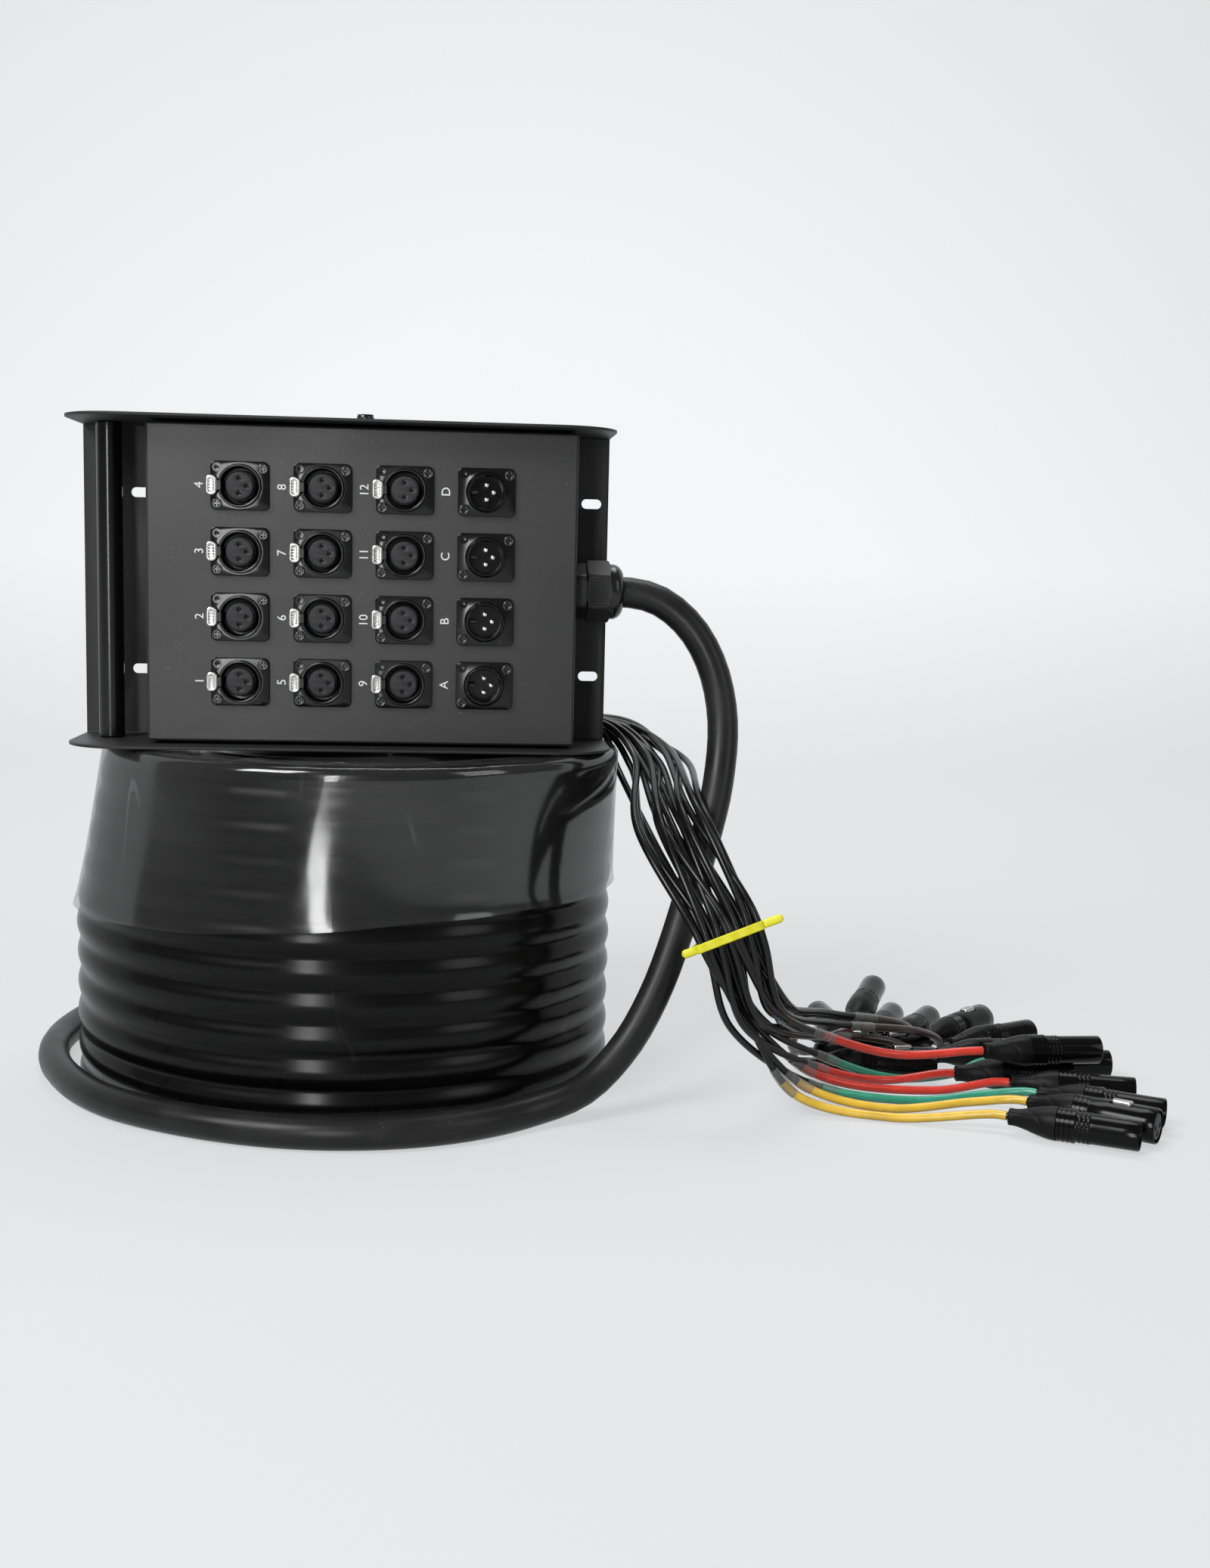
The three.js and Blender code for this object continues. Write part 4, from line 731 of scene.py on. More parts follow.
def latch_skins():
    """A push latch: an oval dished cap with ridges, a neck, and a tongue that reaches into its socket."""
    front = CAP_FRONT
    levels = [(0.35, CAP_BACK), (0, CAP_BACK - 0.35), (0, front + 0.75), (0.18, front + 0.3), (0.55, front + 0.05),
              (1.0, front), (1.5, front + 0.12), (2.2, front + 0.3)]
    skins = [pressed(5.9, 10.8, 2.7, levels, 0, 8, 8)]
    ridge = pressed(3.0, 0.5, 0.2, [(0, front + 0.4), (0, front + 0.05), (0.12, front - 0.06)])
    skins += [moved(ridge, (0, 0, z)) for z in (-2.4, -0.8, 0.8, 2.4)]
    neck = pressed(5.4, 5.2, 0.4, [(0, CAP_BACK), (0, front + 0.6), (0.2, front + 0.4)], 1)
    tongue = pressed(2.0, 5.2, 0.4, [(0.3, 4.3), (0, 3.9), (0, front + 0.7), (0.2, front + 0.5)], 1)
    skins += [moved(neck, (2.4, 0, 0)), moved(tongue, (4.2, 0, 0))]
    return [moved(s, (LATCH_X, 0, 0)) for s in skins]


def build_sockets():
    """Sixteen sockets at their places in the panel, and a latch on each female one."""
    female, male, latch = socket_skins(False), socket_skins(True), latch_skins()
    for label, is_male, x, z in SOCKETS:
        place = (x, COVER_FRONT, z)
        skins = [moved(s, place) for s in (male if is_male else female)]
        make("socket_shell_" + label, skins, [SOCKET_GLOSS, INSERT, SCREW, PIN if is_male else CONTACT_PAINTED_SHADE],
             replaces=["socket_" + label])
        if not is_male:
            make("latch_cap_" + label, [moved(s, place) for s in latch], [NICKEL, NECK],
                 body="latch_" + label, replaces=["latch_" + label])


LABEL_SIZE, LABEL_RISE, LABEL_LEFT = 6.7, 0.03, 22.0


def build_labels():
    """Plain numbers and letters, read upwards, printed left of each socket."""
    skins = []
    for label, _, x, z in SOCKETS:
        text = bpy.data.curves.new("label", "FONT")
        text.body, text.align_x, text.align_y = label, "CENTER", "CENTER"
        text.size, text.extrude, text.offset = LABEL_SIZE, LABEL_RISE, 0.02
        text.resolution_u = 4
        points, faces = taken_from(filled(text))
        along, up, out = points.T
        up = up - (up.max() + up.min()) / 2
        along = along - (along.max() + along.min()) / 2
        skins.append((np.stack([x - LABEL_LEFT - up, COVER_FRONT - LABEL_RISE - out, z + along], -1), faces, 0))
    make("panel_labels", skins, [PAINT])


# Cable gland

GLAND_FLATS, NUT_FLATS = 28, 31
RIB_PITCH, RIB_DEPTH, RIBBED_HALF = 1.0, 0.42, 8.1


def from_face(angle):
    """An angle's turn from the middle of its face, on a hexagon with a corner up."""
    return np.mod(angle - np.pi / 2, np.pi / 3) - np.pi / 6


def body_flats(along, angle, radius):
    """A hexagon whose corners are cut to a circle, where the radius is past that of the thread."""
    return np.where(radius > 12.2, np.minimum(GLAND_FLATS / 2 / np.cos(from_face(angle)), radius), radius)


def nut_flats(along, angle, radius):
    """A hexagon whose corners are cut to a circle, less a row of round grooves on every other face."""
    face = np.floor(np.mod(angle - np.pi / 2, 2 * np.pi) / (np.pi / 3)).astype(int)
    place = NUT_FLATS / 2 * np.tan(from_face(angle))
    ribbed = (face % 2 == 1) & (np.abs(place) < RIBBED_HALF) & (along > 135.5) & (along < 147)
    groove = RIB_DEPTH * (0.5 - 0.5 * np.cos(2 * np.pi * place / RIB_PITCH))
    return np.minimum(NUT_FLATS / 2 / np.cos(from_face(angle)), radius) - np.where(ribbed, groove, 0)


def build_gland():
    """Gland body and nut: hexagons along X, with ridges on every other face of the nut, and a domed end."""
    body = lathe([(118.0, 12.2), (127.6, 12.2), (127.6, 15.3), (128.0, 15.9), (133.9, 15.9), (134.5, 15.2)], 120, 0,
                 body_flats, np.pi / 2)
    nut = lathe([(134.8, 16.2), (135.2, 17.2), (136.0, 17.5), (146.4, 17.5), (147.4, 17.1), (148.0, 15.9)], 756, 0,
                nut_flats, np.pi / 2)
    dome = lathe([(147.2, 13.0), (147.2, 14.9), (147.9, 15.4), (149.4, 15.55), (150.8, 15.4), (152.2, 14.8),
                  (153.4, 13.9), (154.5, 12.6), (155.2, 11.3), (155.4, 10.2), (155.0, 9.3), (154.0, 9.1),
                  (148.5, 9.1)], 64, 1)
    body, nut, dome = (moved(s, (0, *GLAND_AXIS)) for s in (body, nut, dome))
    make("gland_body_hexagon", [body], [NYLON], replaces=["gland_body"])
    make("gland_nut_ribbed", [nut, dome], [NYLON, NYLON_GLOSS], replaces=["gland_nut"], sharp=28)


# Cable: lead, coil and its inner end in one length

CABLE_RADIUS = 8.7
LEAD = [
    [142, -41.8, 281.8], [160, -41.8, 281.5], [174, -42.8, 278.5], [187, -44.5, 270.5], [199, -47.5, 257],
    [208.5, -53, 236], [212.5, -61, 209], [209, -72, 176], [202, -82, 150], [182, -102.5, 89], [170, -110.5, 61],
    [155, -117.5, 37], [133, -126.5, 17], [104, -139.5, 9.4], [68, -163, 9.1], [26, -174, 9.1], [-22, -171, 9.1],
    [-74, -151, 9.1], [-122, -116, 9.1], [-154, -66, 9.1], [-168, -22, 9.1], [-170, 20, 9.1], [-161, 66, 9.1],
    [-136, 110, 9.1], [-98, 145, 9.1], [-50, 167, 9.1], [0, 171, 9.1], [44, 160, 9.3], [76, 139, 9.5],
    [97, 118.5, 9.5],
]
TRUNK = [[30, 36, 110], [28, 44, 160], [32, 54, 190], [43, 62, 202], [62, 62, 203], [84, 54, 202.5]]
CABLE_SPACING = 9.0
TURN_RADIUS = 145.3
LAYER_STEP = 17.5
TURNS = 10
TURN_PITCH = 17.39
FIRST_TURN_Z, LAST_TURN_Z = 9.5, 183.4
TURN_START = math.radians(30)
POINTS_PER_TURN = 16
LEAN_FROM, LEAN_TO = 100.0, 193.0
LEAN_SHIFT, LEAN_DRAW_IN = 11.0, 0.04
LAYERS = 4
LAYER_STEP_IN = 0.25
INNER_END_RADIUS, INNER_END_RISE = 50, 92


def polar(radius, angle, z):
    """Points at a radius and an angle about the coil's axis, at a height."""
    return np.stack(np.broadcast_arrays(radius * np.cos(angle), radius * np.sin(angle), z), -1)


def leaned(points):
    """The coil has settled to the right: above a height, points move to the right and draw in, in step with height,
    and less so where the bundle of tails presses on the rim."""
    share = np.clip((points[..., 2] - LEAN_FROM) / (LEAN_TO - LEAN_FROM), 0, 1)[..., None]
    angle = np.arctan2(points[..., 1], points[..., 0])[..., None]
    share = share * (1 - 0.65 * share * np.exp(-(((angle - 0.05) / 0.3) ** 2)))
    out = points * [1, 1, 0]
    return points - out * share * LEAN_DRAW_IN + share * np.array([LEAN_SHIFT, 0, 0])


def smoothstep(x):
    """Zero to one with level ends."""
    x = np.clip(x, 0, 1)
    return x * x * (3 - 2 * x)


def winding():
    """Centres of all turns: up the outside, then down, up and down again, each layer a cable further in.
    The radius steps in over a quarter turn, and the height goes in even steps over the rest of the layer."""
    count = TURNS * POINTS_PER_TURN
    whole = []
    for layer in range(LAYERS):
        share = np.arange(count) / count
        radius = TURN_RADIUS - LAYER_STEP * layer
        if layer:
            radius = radius + LAYER_STEP * (1 - smoothstep(share * TURNS / LAYER_STEP_IN))
            share = np.clip((share * TURNS - LAYER_STEP_IN) / (TURNS - LAYER_STEP_IN), 0, 1)
        rise = share if layer % 2 == 0 else 1 - share
        angle = TURN_START - 2 * np.pi * (layer * TURNS + np.arange(count) / POINTS_PER_TURN)
        whole.append(polar(radius, angle, FIRST_TURN_Z + (LAST_TURN_Z - FIRST_TURN_Z) * rise))
    return leaned(np.concatenate(whole))


def inner_rise():
    """From the innermost turn the cable spirals in and up over most of a turn."""
    share = np.arange(0, 10) / 11
    radius = (TURN_RADIUS - (LAYERS - 1) * LAYER_STEP) * (1 - share) + INNER_END_RADIUS * share
    z = FIRST_TURN_Z + INNER_END_RISE * smoothstep(share * 1.05)
    return polar(radius, TURN_START - 2 * np.pi * 0.9 * share, z)


def cable_route():
    """The whole cable's centreline: gland, lead, winding, inner rise and the way over the coil's rim."""
    return smooth_route(np.vstack([LEAD, winding(), inner_rise(), TRUNK]), CABLE_SPACING)


# Tails: bundle, strap, sleeves and plugs. A tail is its name, the points between the bundle and its plug, the plug's
# rear end, turn and rise, its sleeve's colour, and the x where its sleeve starts

BUNDLE = [
    ([111, 43, 200.8], [0.41, 0.91, 0]), ([158, 27, 199.6], [0.3, 0.95, 0]), ([178, -1, 184.5], [0.6, 0.7, 0.35]),
    ([181, -93, 156.5], [0.86, 0, 0.5]), ([204.3, -133.5, 111.9], [0.9, 0, 0.43]),
    ([211.7, -136.5, 93.3], [0.9, 0, 0.43]), ([226, -131, 61], [0.88, 0.1, 0.45]),
]
STRAP_AFTER = 4
TAIL_PITCH = 4.4
TAIL_RADIUS = 2.0
TAILS = [
    ("1", [[250, -123, 12], [300, -134, 3]], [359, -153, 9.4], -30, 0, "yellow", 240),
    ("2", [[262, -110, 14], [320, -104, 3], [360, -103, 6]], [389, -113, 9.4], -32, 0, "green", 264),
    ("A", [[256, -117, 15], [300, -121, 4], [348, -120, 7]], [378, -130, 9.9], -38, 0, "yellow", 250),
    ("3", [[268, -101, 16], [335, -92, 5]], [380, -92, 9.4], -15, 0, "red", 255),
    ("4", [[272, -95, 18], [312, -75, 6]], [353, -73, 9.4], -2, 0, "red", 264),
    ("B", [[255, -84, 28], [260, -60, 14]], [276, -50, 9.9], -3, 0, "brown", 256),
    ("7", [[274, -78, 32], [302, -46, 24], [326, -40, 18]], [352, -36, 9.4], 10, 0, "brown", 286),
    ("C", [[258, -66, 32], [263, -42, 16]], [280, -28, 9.9], 4, 0, "brown", 260),
    ("6", [[277, -97, 36], [318, -82, 23]], [366, -84, 25.8], 2, 0, "red", 266),
    ("5", [[276, -88, 22], [320, -68, 5], [355, -65, 7]], [384, -50, 9.4], -3, 0, "green", 272),
    ("12", [[252, -90, 42], [282, -50, 25]], [305, -16, 23.4], 66, 7, "red", 289),
    ("11", [[256, -62, 34], [281, -32, 18], [297, -15, 11]], [307, -2, 9.4], 95, 0, "brown", 283),
    ("9", [[275, -60, 41], [322, -22, 24], [328, -14.5, 16.5]], [336, -4, 9.4], 58, 0, "brown", 296),
    ("10", [[273, -57, 40], [310, -22, 24], [314, -13, 16]], [320, 1, 9.4], 64, 0, "green", 294),
    ("8", [[282, -70, 38], [343, -31, 22.5], [358, -20, 14]], [367, -14, 9.4], 28, 0, "brown", 300),
    ("D", [[281, -61, 42], [334, -23, 25], [345, -11.5, 16]], [356, -1, 9.9], 45, 0, "brown", 304),
]
FEMALE_PLUGS = "ABCD"
WANDER = (0, 0.5, 1.5, 1.6, 0.4, 0.4, 1.3)
LIFT = (0, 0.25, 0.75, 0.8, 0, 0, 0.65)
TAIL_SPACING = 3.2
STRAIGHT_BEFORE_PLUG, REACH_INTO_PLUG = 8, 2.0
SLEEVE_RADIUS = 2.45
SLEEVE_BELOW = 90
SHRINK_RADII = [2.3, 2.6, 2.75, 2.8, 2.85, 2.85, 2.7]


def strap_direction():
    """Along the bundle where the strap sits."""
    return unit(np.array(BUNDLE[STRAP_AFTER + 1][0], float) - BUNDLE[STRAP_AFTER][0])


def bundle_axes(k):
    """How the bundle lies at one of its places: across it and through it."""
    before, after = (np.array(BUNDLE[j][0], float) for j in (max(k - 1, 0), min(k + 1, len(BUNDLE) - 1)))
    along = strap_direction() if k in (STRAP_AFTER, STRAP_AFTER + 1) else unit(after - before)
    deep = unit(np.cross(BUNDLE[k][1], along))
    return np.cross(along, deep), deep


def lane_point(i, k):
    """Where tail number i lies at place k: eight lanes wide and two rows deep. Past the boot the strands wander from
    their lanes, each by its own sines, so that they cross; at the strap only within it."""
    wide, deep = bundle_axes(k)
    across = (i // 2 - 3.5) * (1.0 - 0.08 * WANDER[k]) + WANDER[k] * math.sin(2.4 * i + 1.3 * k)
    through = (i % 2 - 0.5) + LIFT[k] * math.cos(3.7 * i + 1.1 * k)
    return np.array(BUNDLE[k][0]) + (wide * across + deep * through) * TAIL_PITCH


def plug_direction(turn, rise):
    """A plug's axis, from its turn about the vertical and its rise."""
    a, b = math.radians(turn), math.radians(rise)
    return np.array([math.cos(a) * math.cos(b), math.sin(a) * math.cos(b), math.sin(b)])


def tail_route(i):
    """A tail's centreline from the boot's mouth through the bundle to its plug."""
    _, via, rear, turn, rise, _, _ = TAILS[i]
    direction = plug_direction(turn, rise)
    lanes = [lane_point(i, k) for k in range(len(BUNDLE))]
    ends = [rear - STRAIGHT_BEFORE_PLUG * direction, rear + REACH_INTO_PLUG * direction]
    return smooth_route([*lanes, *via, *ends], TAIL_SPACING)


def set_down(skin, rear, turn, rise):
    """A plug's skin, made along +X, risen, turned and moved to its place."""
    ahead = plug_direction(turn, rise)
    a = math.radians(turn)
    left = np.array([-math.sin(a), math.cos(a), 0])
    basis = np.stack([ahead, left, np.cross(ahead, left)])
    return skin[0] @ basis + np.asarray(rear, float), skin[1], skin[2]


# Plugs along +X from their rear end at x = 0

BOOT_RADIUS, BOOT_END = 9.05, 25.6
COLLAR_START, COLLAR_END = 25.8, 35.2
MALE_END, FEMALE_END = 68, 70
PLUG_HOLES = [(0, -3.95), (3.95, 0), (-3.95, 0)]
WELL_START, WELL_END, WELL_HALF, WELL_FLOOR = 44.55, 56.45, 3.3, 6.0
THUMB_AT = (50.5, 0, 0)
DASHES_FROM, DASHES_TO = 37.0, 43.9


def boot_relief(x, angle, radius):
    """A wavy groove round the rubber boot, and shallow flats above and below its tail end."""
    line = 13.5 + 4.5 * np.cos(2 * angle)
    groove = 0.35 * np.exp(-(((x - line) / 0.55) ** 2))
    flats = 0.5 * np.exp(-(((x - 5) / 4) ** 2)) * np.cos(2 * angle) ** 2
    return np.where((x > 1) & (x < 24), radius - groove - flats, radius)


def boot_skin():
    """The rubber strain relief at a plug's rear."""
    x = np.linspace(0.8, 24, 40)
    radius = 4.7 + 4.35 * smoothstep((x - 1) / 24)
    rows = [(0, 0), (0, 4.1), (0.3, 4.5), *zip(x, radius), (BOOT_END, BOOT_RADIUS), (BOOT_END, 0)]
    return lathe(rows, 48, 0, boot_relief)


def collar_rows(radius):
    """A collar with three grooves, evenly spaced."""
    rows = [(COLLAR_START, 0), (COLLAR_START, radius - 0.3), (COLLAR_START + 0.3, radius)]
    for k in range(3):
        x = COLLAR_START + 1.6 + k * 2.6
        rows += [(x, radius), (x + 0.25, radius - 0.4), (x + 0.75, radius - 0.4), (x + 1.0, radius)]
    return rows + [(COLLAR_END, radius)]


def dashes(x, angle, radius):
    """Three rows of short raised dashes round the shell."""
    row = np.mod((x - DASHES_FROM) / 2.3, 1)
    raised = (x > DASHES_FROM) & (x < DASHES_TO) & (row < 0.6) & (np.mod(angle * 14 / np.pi, 1) < 0.62)
    return radius + 0.28 * raised


def male_plug():
    """Cable plug with pins: rubber boot, grooved collar, and an open metal barrel."""
    x = np.arange(36.4, 44.6, 0.29)
    rows = [*collar_rows(9.0), (35.6, 8.5), (36.0, 8.15), *zip(x, np.full(len(x), 8.1)), (46, 8.05), (60, 8.0),
            (67.3, 8.0), (67.8, 7.85), (MALE_END, 7.6), (67.9, 7.3), (67.4, 7.15), (54, 7.1), (54, 0)]
    pin = lathe([(53.8, 0), (53.8, 1.2), (64.0, 1.2), (64.6, 1.0), (64.9, 0.6), (65.0, 0)], 14, 2)
    return [boot_skin(), lathe(rows, 84, 1, dashes), *[moved(pin, (0, y, z)) for y, z in PLUG_HOLES]]


def latch_well(x, angle, radius):
    """The shell sinks to a flat floor where the latch sits, on top."""
    y, z = radius * np.cos(angle), radius * np.sin(angle)
    inside = (x > WELL_START) & (x < WELL_END) & (np.abs(y) < WELL_HALF) & (z > 0)
    return np.where(inside, WELL_FLOOR / np.maximum(np.sin(angle), 0.5), radius)


def female_plug():
    """Cable plug with holes: rubber boot, grooved collar, a smooth shell with a well for its latch, and an insert."""
    rows = [*collar_rows(9.3), (35.7, 9.5), (44.5, 9.5), (44.6, 9.5), (50, 9.5), (56.4, 9.5), (56.5, 9.5),
            (62, 9.5), (69.4, 9.5), (69.9, 9.2), (FEMALE_END, 8.9), (69.8, 8.6), (60, 8.5), (60, 0)]
    insert = [moved(turned(s, -2, 1, 3), (FEMALE_END - 0.4, 0, 0)) for s in insert_skins(PLUG_HOLES, 0, 9.5, 3, 2)]
    return [boot_skin(), lathe(rows, 96, 1, latch_well), *insert]


def plug_latch():
    """A small rounded thumb latch with a dished top, narrower below so that it can sink into its well."""
    levels = [(0.9, 7.5), (0, 8.6), (0, 9.9), (0.25, 10.4), (0.6, 10.65), (1.0, 10.7), (1.8, 10.5)]
    return moved(turned(pressed(11, 5.6, 1.6, levels, 0, 6, 6), *DOWN), THUMB_AT)


def build_plugs():
    """Every tail's plug at its place, and the latches of the female ones. Returns the pieces by name."""
    male, female, latch = male_plug(), female_plug(), plug_latch()
    pieces = {}
    for name, _, rear, turn, rise, _, _ in TAILS:
        is_female = name in FEMALE_PLUGS
        skins = [set_down(s, rear, turn, rise) for s in (female if is_female else male)]
        metal = CONTACT_PAINTED_SHADE if is_female else PIN
        plug = make("cable_plug_" + name, skins, [PLUG_RUBBER, PLUG_SHELL, metal, INSERT],
                    replaces=["plug_" + name])
        pieces[name] = [plug]
        if is_female:
            thumb = make("thumb_latch_" + name, [set_down(latch, rear, turn, rise)], [NICKEL],
                         body="plug_latch_" + name, replaces=["plug_latch_" + name])
            pieces[name].append(thumb)
    return pieces


def superellipse(width, height, power, count):
    """Outline whose half width and half height are raised to a power: 2 is an ellipse, more is squarer."""
    flat = round_outline(1, count)
    return np.sign(flat) * np.abs(flat) ** (2 / power) * [width / 2, height / 2]


def breakout_boot():
    """Heat-shrunk boot: a round sleeve on the cable that flattens and widens to its mouth, in level steps."""
    wide, deep = bundle_axes(0)
    along = np.cross(wide, deep)
    first = unit(np.array(BUNDLE[1][0], float) - BUNDLE[0][0])
    along = along if along @ first > 0 else -along
    rings = []
    for s, width, height, power in (
        (-36, 17.8, 17.8, 2), (-35.6, 19.4, 19.4, 2), (-26, 19.6, 19.4, 2), (-20, 21.0, 18.8, 2.1),
        (-14, 26, 17.2, 2.3), (-8, 33, 15, 2.6), (-3, 38.6, 13.6, 3), (1, 40.6, 13.2, 3.2), (3.4, 41, 13, 3.4),
        (4, 40, 12, 3.4), (4, 34, 6, 3.4),
    ):
        flat = superellipse(width, height, power, 56)
        rings.append(np.array(BUNDLE[0][0]) + s * along + flat[:, :1] * wide + flat[:, 1:] * deep)
    return band(rings)


def rounded_end(run, start, floor):
    """One along most of a run, then falling like a circle's edge from a start to its end."""
    return np.sqrt(np.clip(1 - np.clip((run - start[0]) / start[1], 0, 1) ** 2, floor, 1))


def strap_skins():
    """The strap: a flat band carried round the bundle, and two flattened ends that stand out to its sides."""
    wide, deep = bundle_axes(STRAP_AFTER)
    along = strap_direction()
    middle = (np.array(BUNDLE[STRAP_AFTER][0], float) + BUNDLE[STRAP_AFTER + 1][0]) / 2
    inner = rectangle(35.6, 9.2, 1.8, 6, 18)
    outward = unit(inner - rectangle(33.6, 7.2, 0.8, 6, 18))
    wave = 0.3 * np.cos(2 * np.pi * inner[:, 0] / 8.8)[:, None]
    rings = []
    for depth, side in ((0.1, -2.1), (0.1, 2.1), (0.45, 2.4), (1.0, 2.35), (1.35, 1.9), (1.4, -1.9), (1.0, -2.35),
                        (0.45, -2.4)):
        flat = inner + outward * (depth + wave * (depth > 0.9))
        rings.append(middle + flat[:, :1] * wide + flat[:, 1:] * deep + side * along)
    skins = [band(rings, joined=True)]
    run = np.linspace(0, 1, 12)
    width = np.where(run < 0.25, 3.6 + 4.4 * run, 4.7) * rounded_end(run, (0.8, 0.205), 0.02)
    thick = np.where(run < 0.25, 1.8, 2.6) * rounded_end(run, (0.85, 0.155), 0.05)
    flat = superellipse(1, 1, 3, 20)
    for sign, reach, lift in ((-1, 9.5, -0.6), (1, 12.5, 1.4)):
        x = sign * (17.6 + reach * run)
        skins.append(band([
            middle + px * wide - (3.0 + lift * r * r) * deep + flat[:, :1] * w * along + flat[:, 1:] * t * deep
            for px, w, t, r in zip(x, width, thick, run)]))
    return skins


def build_tails(plugs):
    """Sixteen tails, with a coloured sleeve and clear shrink tubing on each."""
    for i, (name, _, _, _, _, colour, sleeve_x) in enumerate(TAILS):
        route = tail_route(i)
        skin, uv = tube(route, TAIL_RADIUS, 12)
        tail = make("tail_" + name, [skin], [TAIL_JACKET], uv=uv)
        start = int(np.argmax((route[:, 0] > sleeve_x) & (route[:, 2] < SLEEVE_BELOW)))
        skin, uv = tube(route[start:-1], SLEEVE_RADIUS, 16)
        make("sleeve_on_tail_" + name, [skin], [SLEEVES[colour]], uv=uv)
        skin, uv = tube(route[start - 3:start + 4], SHRINK_RADII, 16)
        make("shrink_on_tail_" + name, [skin], [SHRINK_CLEAR], uv=uv)
        if i == 0:
            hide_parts("tails")


# Film round the coil

FILM_COLUMNS = 192
FILM_ANGLE = circle(FILM_COLUMNS)
FILM_RADIUS, SHEET_RADIUS = 153.4, 156.4
FILM_STEP = 1.45
SWELL, SWELL_LOST = 2.0, 0.3
COVERED_FROM, COVERED_WITHIN = 98, 14


def film_band(rows, thickness):
    """A closed shell round the coil: rows of (radius, height) at every angle, and the same set in by a thickness."""
    rows = np.asarray(rows, float)
    along = unit(np.gradient(rows, axis=0))
    out = np.stack([along[..., 1], -along[..., 0]], -1)
    loop = np.concatenate([rows, (rows - out * thickness)[::-1]])
    return band(leaned(polar(loop[..., 0], FILM_ANGLE, loop[..., 1])), joined=True)


def film_row(radius, z):
    """One row of a film, all round the coil."""
    return np.stack(np.broadcast_arrays(radius + 0 * FILM_ANGLE, z), -1)


def tight_film():
    """Film pulled over the turns: its radius swells once for each turn under it, less under the outer sheet, and its
    ends fold in with small pleats."""
    angle = FILM_ANGLE
    behind = (TURN_START - angle) / (2 * np.pi)
    rows = [film_row(radius, z + 0.15 * np.sin(46 * angle) * (radius < 150))
            for radius, z in ((124, 0.9), (134, 0.6), (146, 0.5), (150.5, 0.7), (153.0, 2.0))]
    for z in np.arange(4.0, 187.0, FILM_STEP):
        depth = SWELL - SWELL_LOST * min(max(z - COVERED_FROM, 0) / COVERED_WITHIN, 1)
        swell = (0.5 + 0.5 * np.cos(2 * np.pi * ((z - FIRST_TURN_Z) / TURN_PITCH - behind))) ** 0.7
        slack = 0.18 * np.sin(5 * angle + z / 9) + 0.12 * np.sin(11 * angle - z / 23)
        rows.append(film_row(FILM_RADIUS + depth * (swell - 0.15) + slack, z))
    for radius, z, pleat in ((154.4, 188.2, 0), (153.2, 190.4, 0.1), (151.2, 191.6, 0.2), (147, 191.9, 0.3),
                             (138, 191.6, 0.5), (124, 191.0, 0.7)):
        wrinkle = pleat * (np.sin(37 * angle) + 0.6 * np.sin(61 * angle + 1))
        rows.append(film_row(radius, z + wrinkle * 0.5 - pleat * 0.6))
    return film_band(rows, 0.3)


def loose_film():
    """The outer sheet: it hangs straight from the top edge to a wavy lower edge, a little off the turns."""
    angle = FILM_ANGLE
    low = 104.5 - 9 * np.cos(angle - math.radians(150)) + 0.8 * np.sin(4 * angle) + 0.35 * np.sin(13 * angle)
    rows = []
    for share in np.linspace(0, 1, 40):
        flare = 1.1 * np.exp(-share / 0.05)
        sag = -0.9 * np.sin(np.pi * share)
        ripple = 0.22 * np.sin(7 * angle + 5 * share) + 0.16 * np.sin(17 * angle + 2.0 + 3 * share) * (1 - share)
        crease = 0.18 * np.exp(-(((np.mod(angle * 9, 2 * np.pi) - 3 - share) / 0.25) ** 2))
        rows.append(film_row(SHEET_RADIUS + flare + sag + ripple + crease, low + (186.5 - low) * share))
    for radius, z, pleat in ((156.1, 188.6, 0), (155.0, 190.6, 0.05), (153.0, 192.0, 0.1), (149.5, 192.6, 0.2),
                             (141, 192.6, 0.4), (129, 192.4, 0.5)):
        wrinkle = pleat * (np.sin(29 * angle + 2) + 0.6 * np.sin(53 * angle))
        rows.append(film_row(radius + 1.5 * np.sin(3 * angle) * (radius < 140), z - pleat * 0.8 + wrinkle * 0.5))
    return film_band(rows, 0.25)


def build_cable():
    """The cable in one length, its film, the breakout boot and the strap."""
    route = cable_route()
    skin, uv = tube(route, CABLE_RADIUS, 16)
    cable = make("multicore_cable", [skin], [JACKET], uv=uv,
                 replaces=["trunk_lead", "coil_turns", "coil_core"])
    make("film_sheath", [tight_film()], [FILM_TIGHT], replaces=["stretch_wrap"], sharp=60)
    make("film_outer_sheet", [loose_film()], [FILM_LOOSE], sharp=60)
    boot = make("breakout_boot", [breakout_boot()], [BOOT])
    make("bundle_strap", strap_skins(), [TIE], replaces=["tail_tie"])


build_box()
build_sockets()
build_labels()
build_gland()
build_cable()
build_tails(build_plugs())
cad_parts["wiring_loom"].data.materials.clear()
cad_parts["wiring_loom"].data.materials.append(LOOM)


# Floor, backdrop and light

PAPER_GREY = (0.2, 0.2015, 0.204)
COOL_WHITE, AIR_WHITE = (0.97, 0.985, 1.0), (0.96, 0.98, 1.0)
FLOOR_REACH = 30.0
SWEEP_START, SWEEP_RADIUS, WALL_HEIGHT = 1.5, 1.5, 6.0
HALO_CENTRE = (0.3, 2.4, 0.5)


def seen_rays(tree):
    """One for rays from the camera, and for those that reach the place by gloss or through something clear."""
    path = node(tree, "LightPath").outputs
    either = calc(tree, "MAXIMUM", path["Is Camera Ray"], path["Is Glossy Ray"])
    return calc(tree, "MAXIMUM", either, path["Is Transmission Ray"])


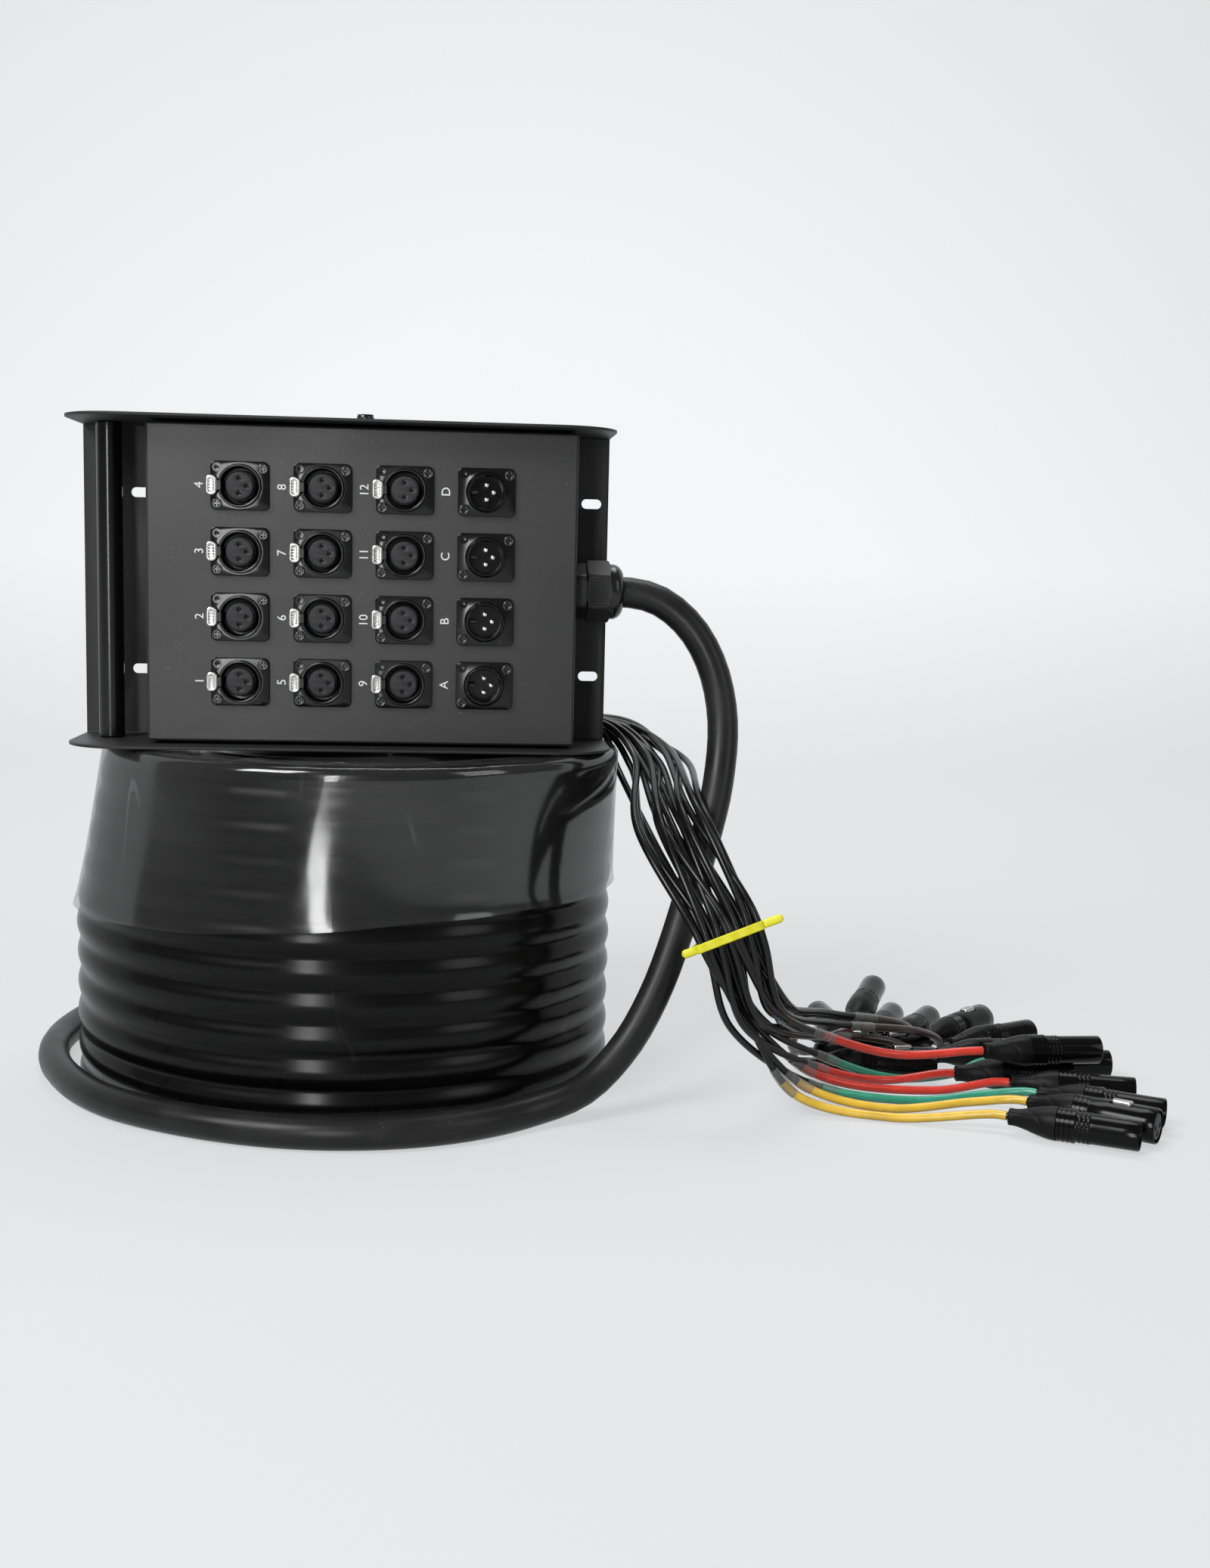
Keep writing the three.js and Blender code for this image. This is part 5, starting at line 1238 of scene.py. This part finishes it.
def backdrop_paper():
    """Matt paper that glows by itself where it is seen: paler up the wall, and round a point behind the object."""
    paper = bpy.data.materials.new("backdrop_paper")
    paper.use_nodes = True
    tree = paper.node_tree
    place = on_object(tree)
    height = node(tree, "SeparateXYZ", {0: place}).outputs[2]
    wall = graded(tree, height, 0.0, 0.3, 0.56, 0.69)
    halo = graded(tree, far_from(tree, place, HALO_CENTRE), 2.3, 0.6, 0.0, 0.13)
    glow = calc(tree, "MULTIPLY", calc(tree, "ADD", wall, halo), seen_rays(tree))
    for key, value in (("Base Color", PAPER_GREY), ("Roughness", 0.9), ("Specular IOR Level", 0.1),
                       ("Emission Color", COOL_WHITE), ("Emission Strength", glow)):
        feed(tree, shader_of(paper).inputs[key], value)
    return paper


def backdrop():
    """A pale sweep: a level floor that turns up into a wall over a quarter circle."""
    turn = np.linspace(0, np.pi / 2, 16)[1:]
    wall_y = SWEEP_START + SWEEP_RADIUS
    y = np.concatenate([[-FLOOR_REACH, SWEEP_START], SWEEP_START + SWEEP_RADIUS * np.sin(turn), [wall_y]])
    z = np.concatenate([[0.0, 0.0], SWEEP_RADIUS - SWEEP_RADIUS * np.cos(turn), [WALL_HEIGHT]])
    points = np.stack(np.broadcast_arrays([-FLOOR_REACH, FLOOR_REACH], y[:, None], z[:, None]), -1)
    index = np.arange(points.size // 3).reshape(-1, 2)
    quads = np.stack([index[:-1, 0], index[:-1, 1], index[1:, 1], index[1:, 0]], -1)
    mesh = bpy.data.meshes.new("backdrop")
    mesh.from_pydata(points.reshape(-1, 3).tolist(), [], quads.tolist())
    mesh.polygons.foreach_set("use_smooth", np.ones(len(mesh.polygons), bool))
    mesh.materials.append(backdrop_paper())
    sheet = bpy.data.objects.new("backdrop", mesh)
    scene.collection.objects.link(sheet)


def lamp(name, at, towards, size, power):
    """A soft rectangular lamp that looks at a point."""
    light = bpy.data.lights.new(name, "AREA")
    light.shape, light.size, light.size_y, light.energy = "RECTANGLE", *size, power
    back = unit(np.array(at, float) - towards)
    right = unit(np.cross([0, 0, 1.0], back))
    aimed(bpy.data.objects.new(name, light), right, np.cross(back, right), back, at)


def studio():
    """A broad key lamp at the upper left, a fill at the right, one above, a narrow upright one beside the camera,
    and an even surround that is dim as a light and paler where it is seen."""
    lamp("key_lamp", (-1.5, -1.6, 2.0), (0.05, 0, 0.2), (1.1, 1.1), 68)
    lamp("fill_lamp", (2.1, -1.5, 1.3), (0.1, 0, 0.2), (0.9, 1.6), 10)
    lamp("top_lamp", (0.1, 0.7, 2.3), (0.1, 0, 0.2), (1.8, 1.0), 30)
    lamp("strip_lamp", (-0.35, -1.75, 0.5), (0, 0, 0.16), (0.2, 0.8), 9)
    scene.world = bpy.data.worlds.new("surround")
    scene.world.use_nodes = True
    tree = scene.world.node_tree
    air = tree.nodes["Background"]
    feed(tree, air.inputs["Color"], AIR_WHITE)
    feed(tree, air.inputs["Strength"], 0.1)
    seen = node(tree, "Background", {"Color": COOL_WHITE, "Strength": 0.2})
    both = node(tree, "MixShader", {0: seen_rays(tree), 1: air.outputs[0], 2: seen.outputs[0]})
    feed(tree, tree.nodes["World Output"].inputs["Surface"], both.outputs[0])


backdrop()
studio()
scene.view_settings.view_transform = "Standard"
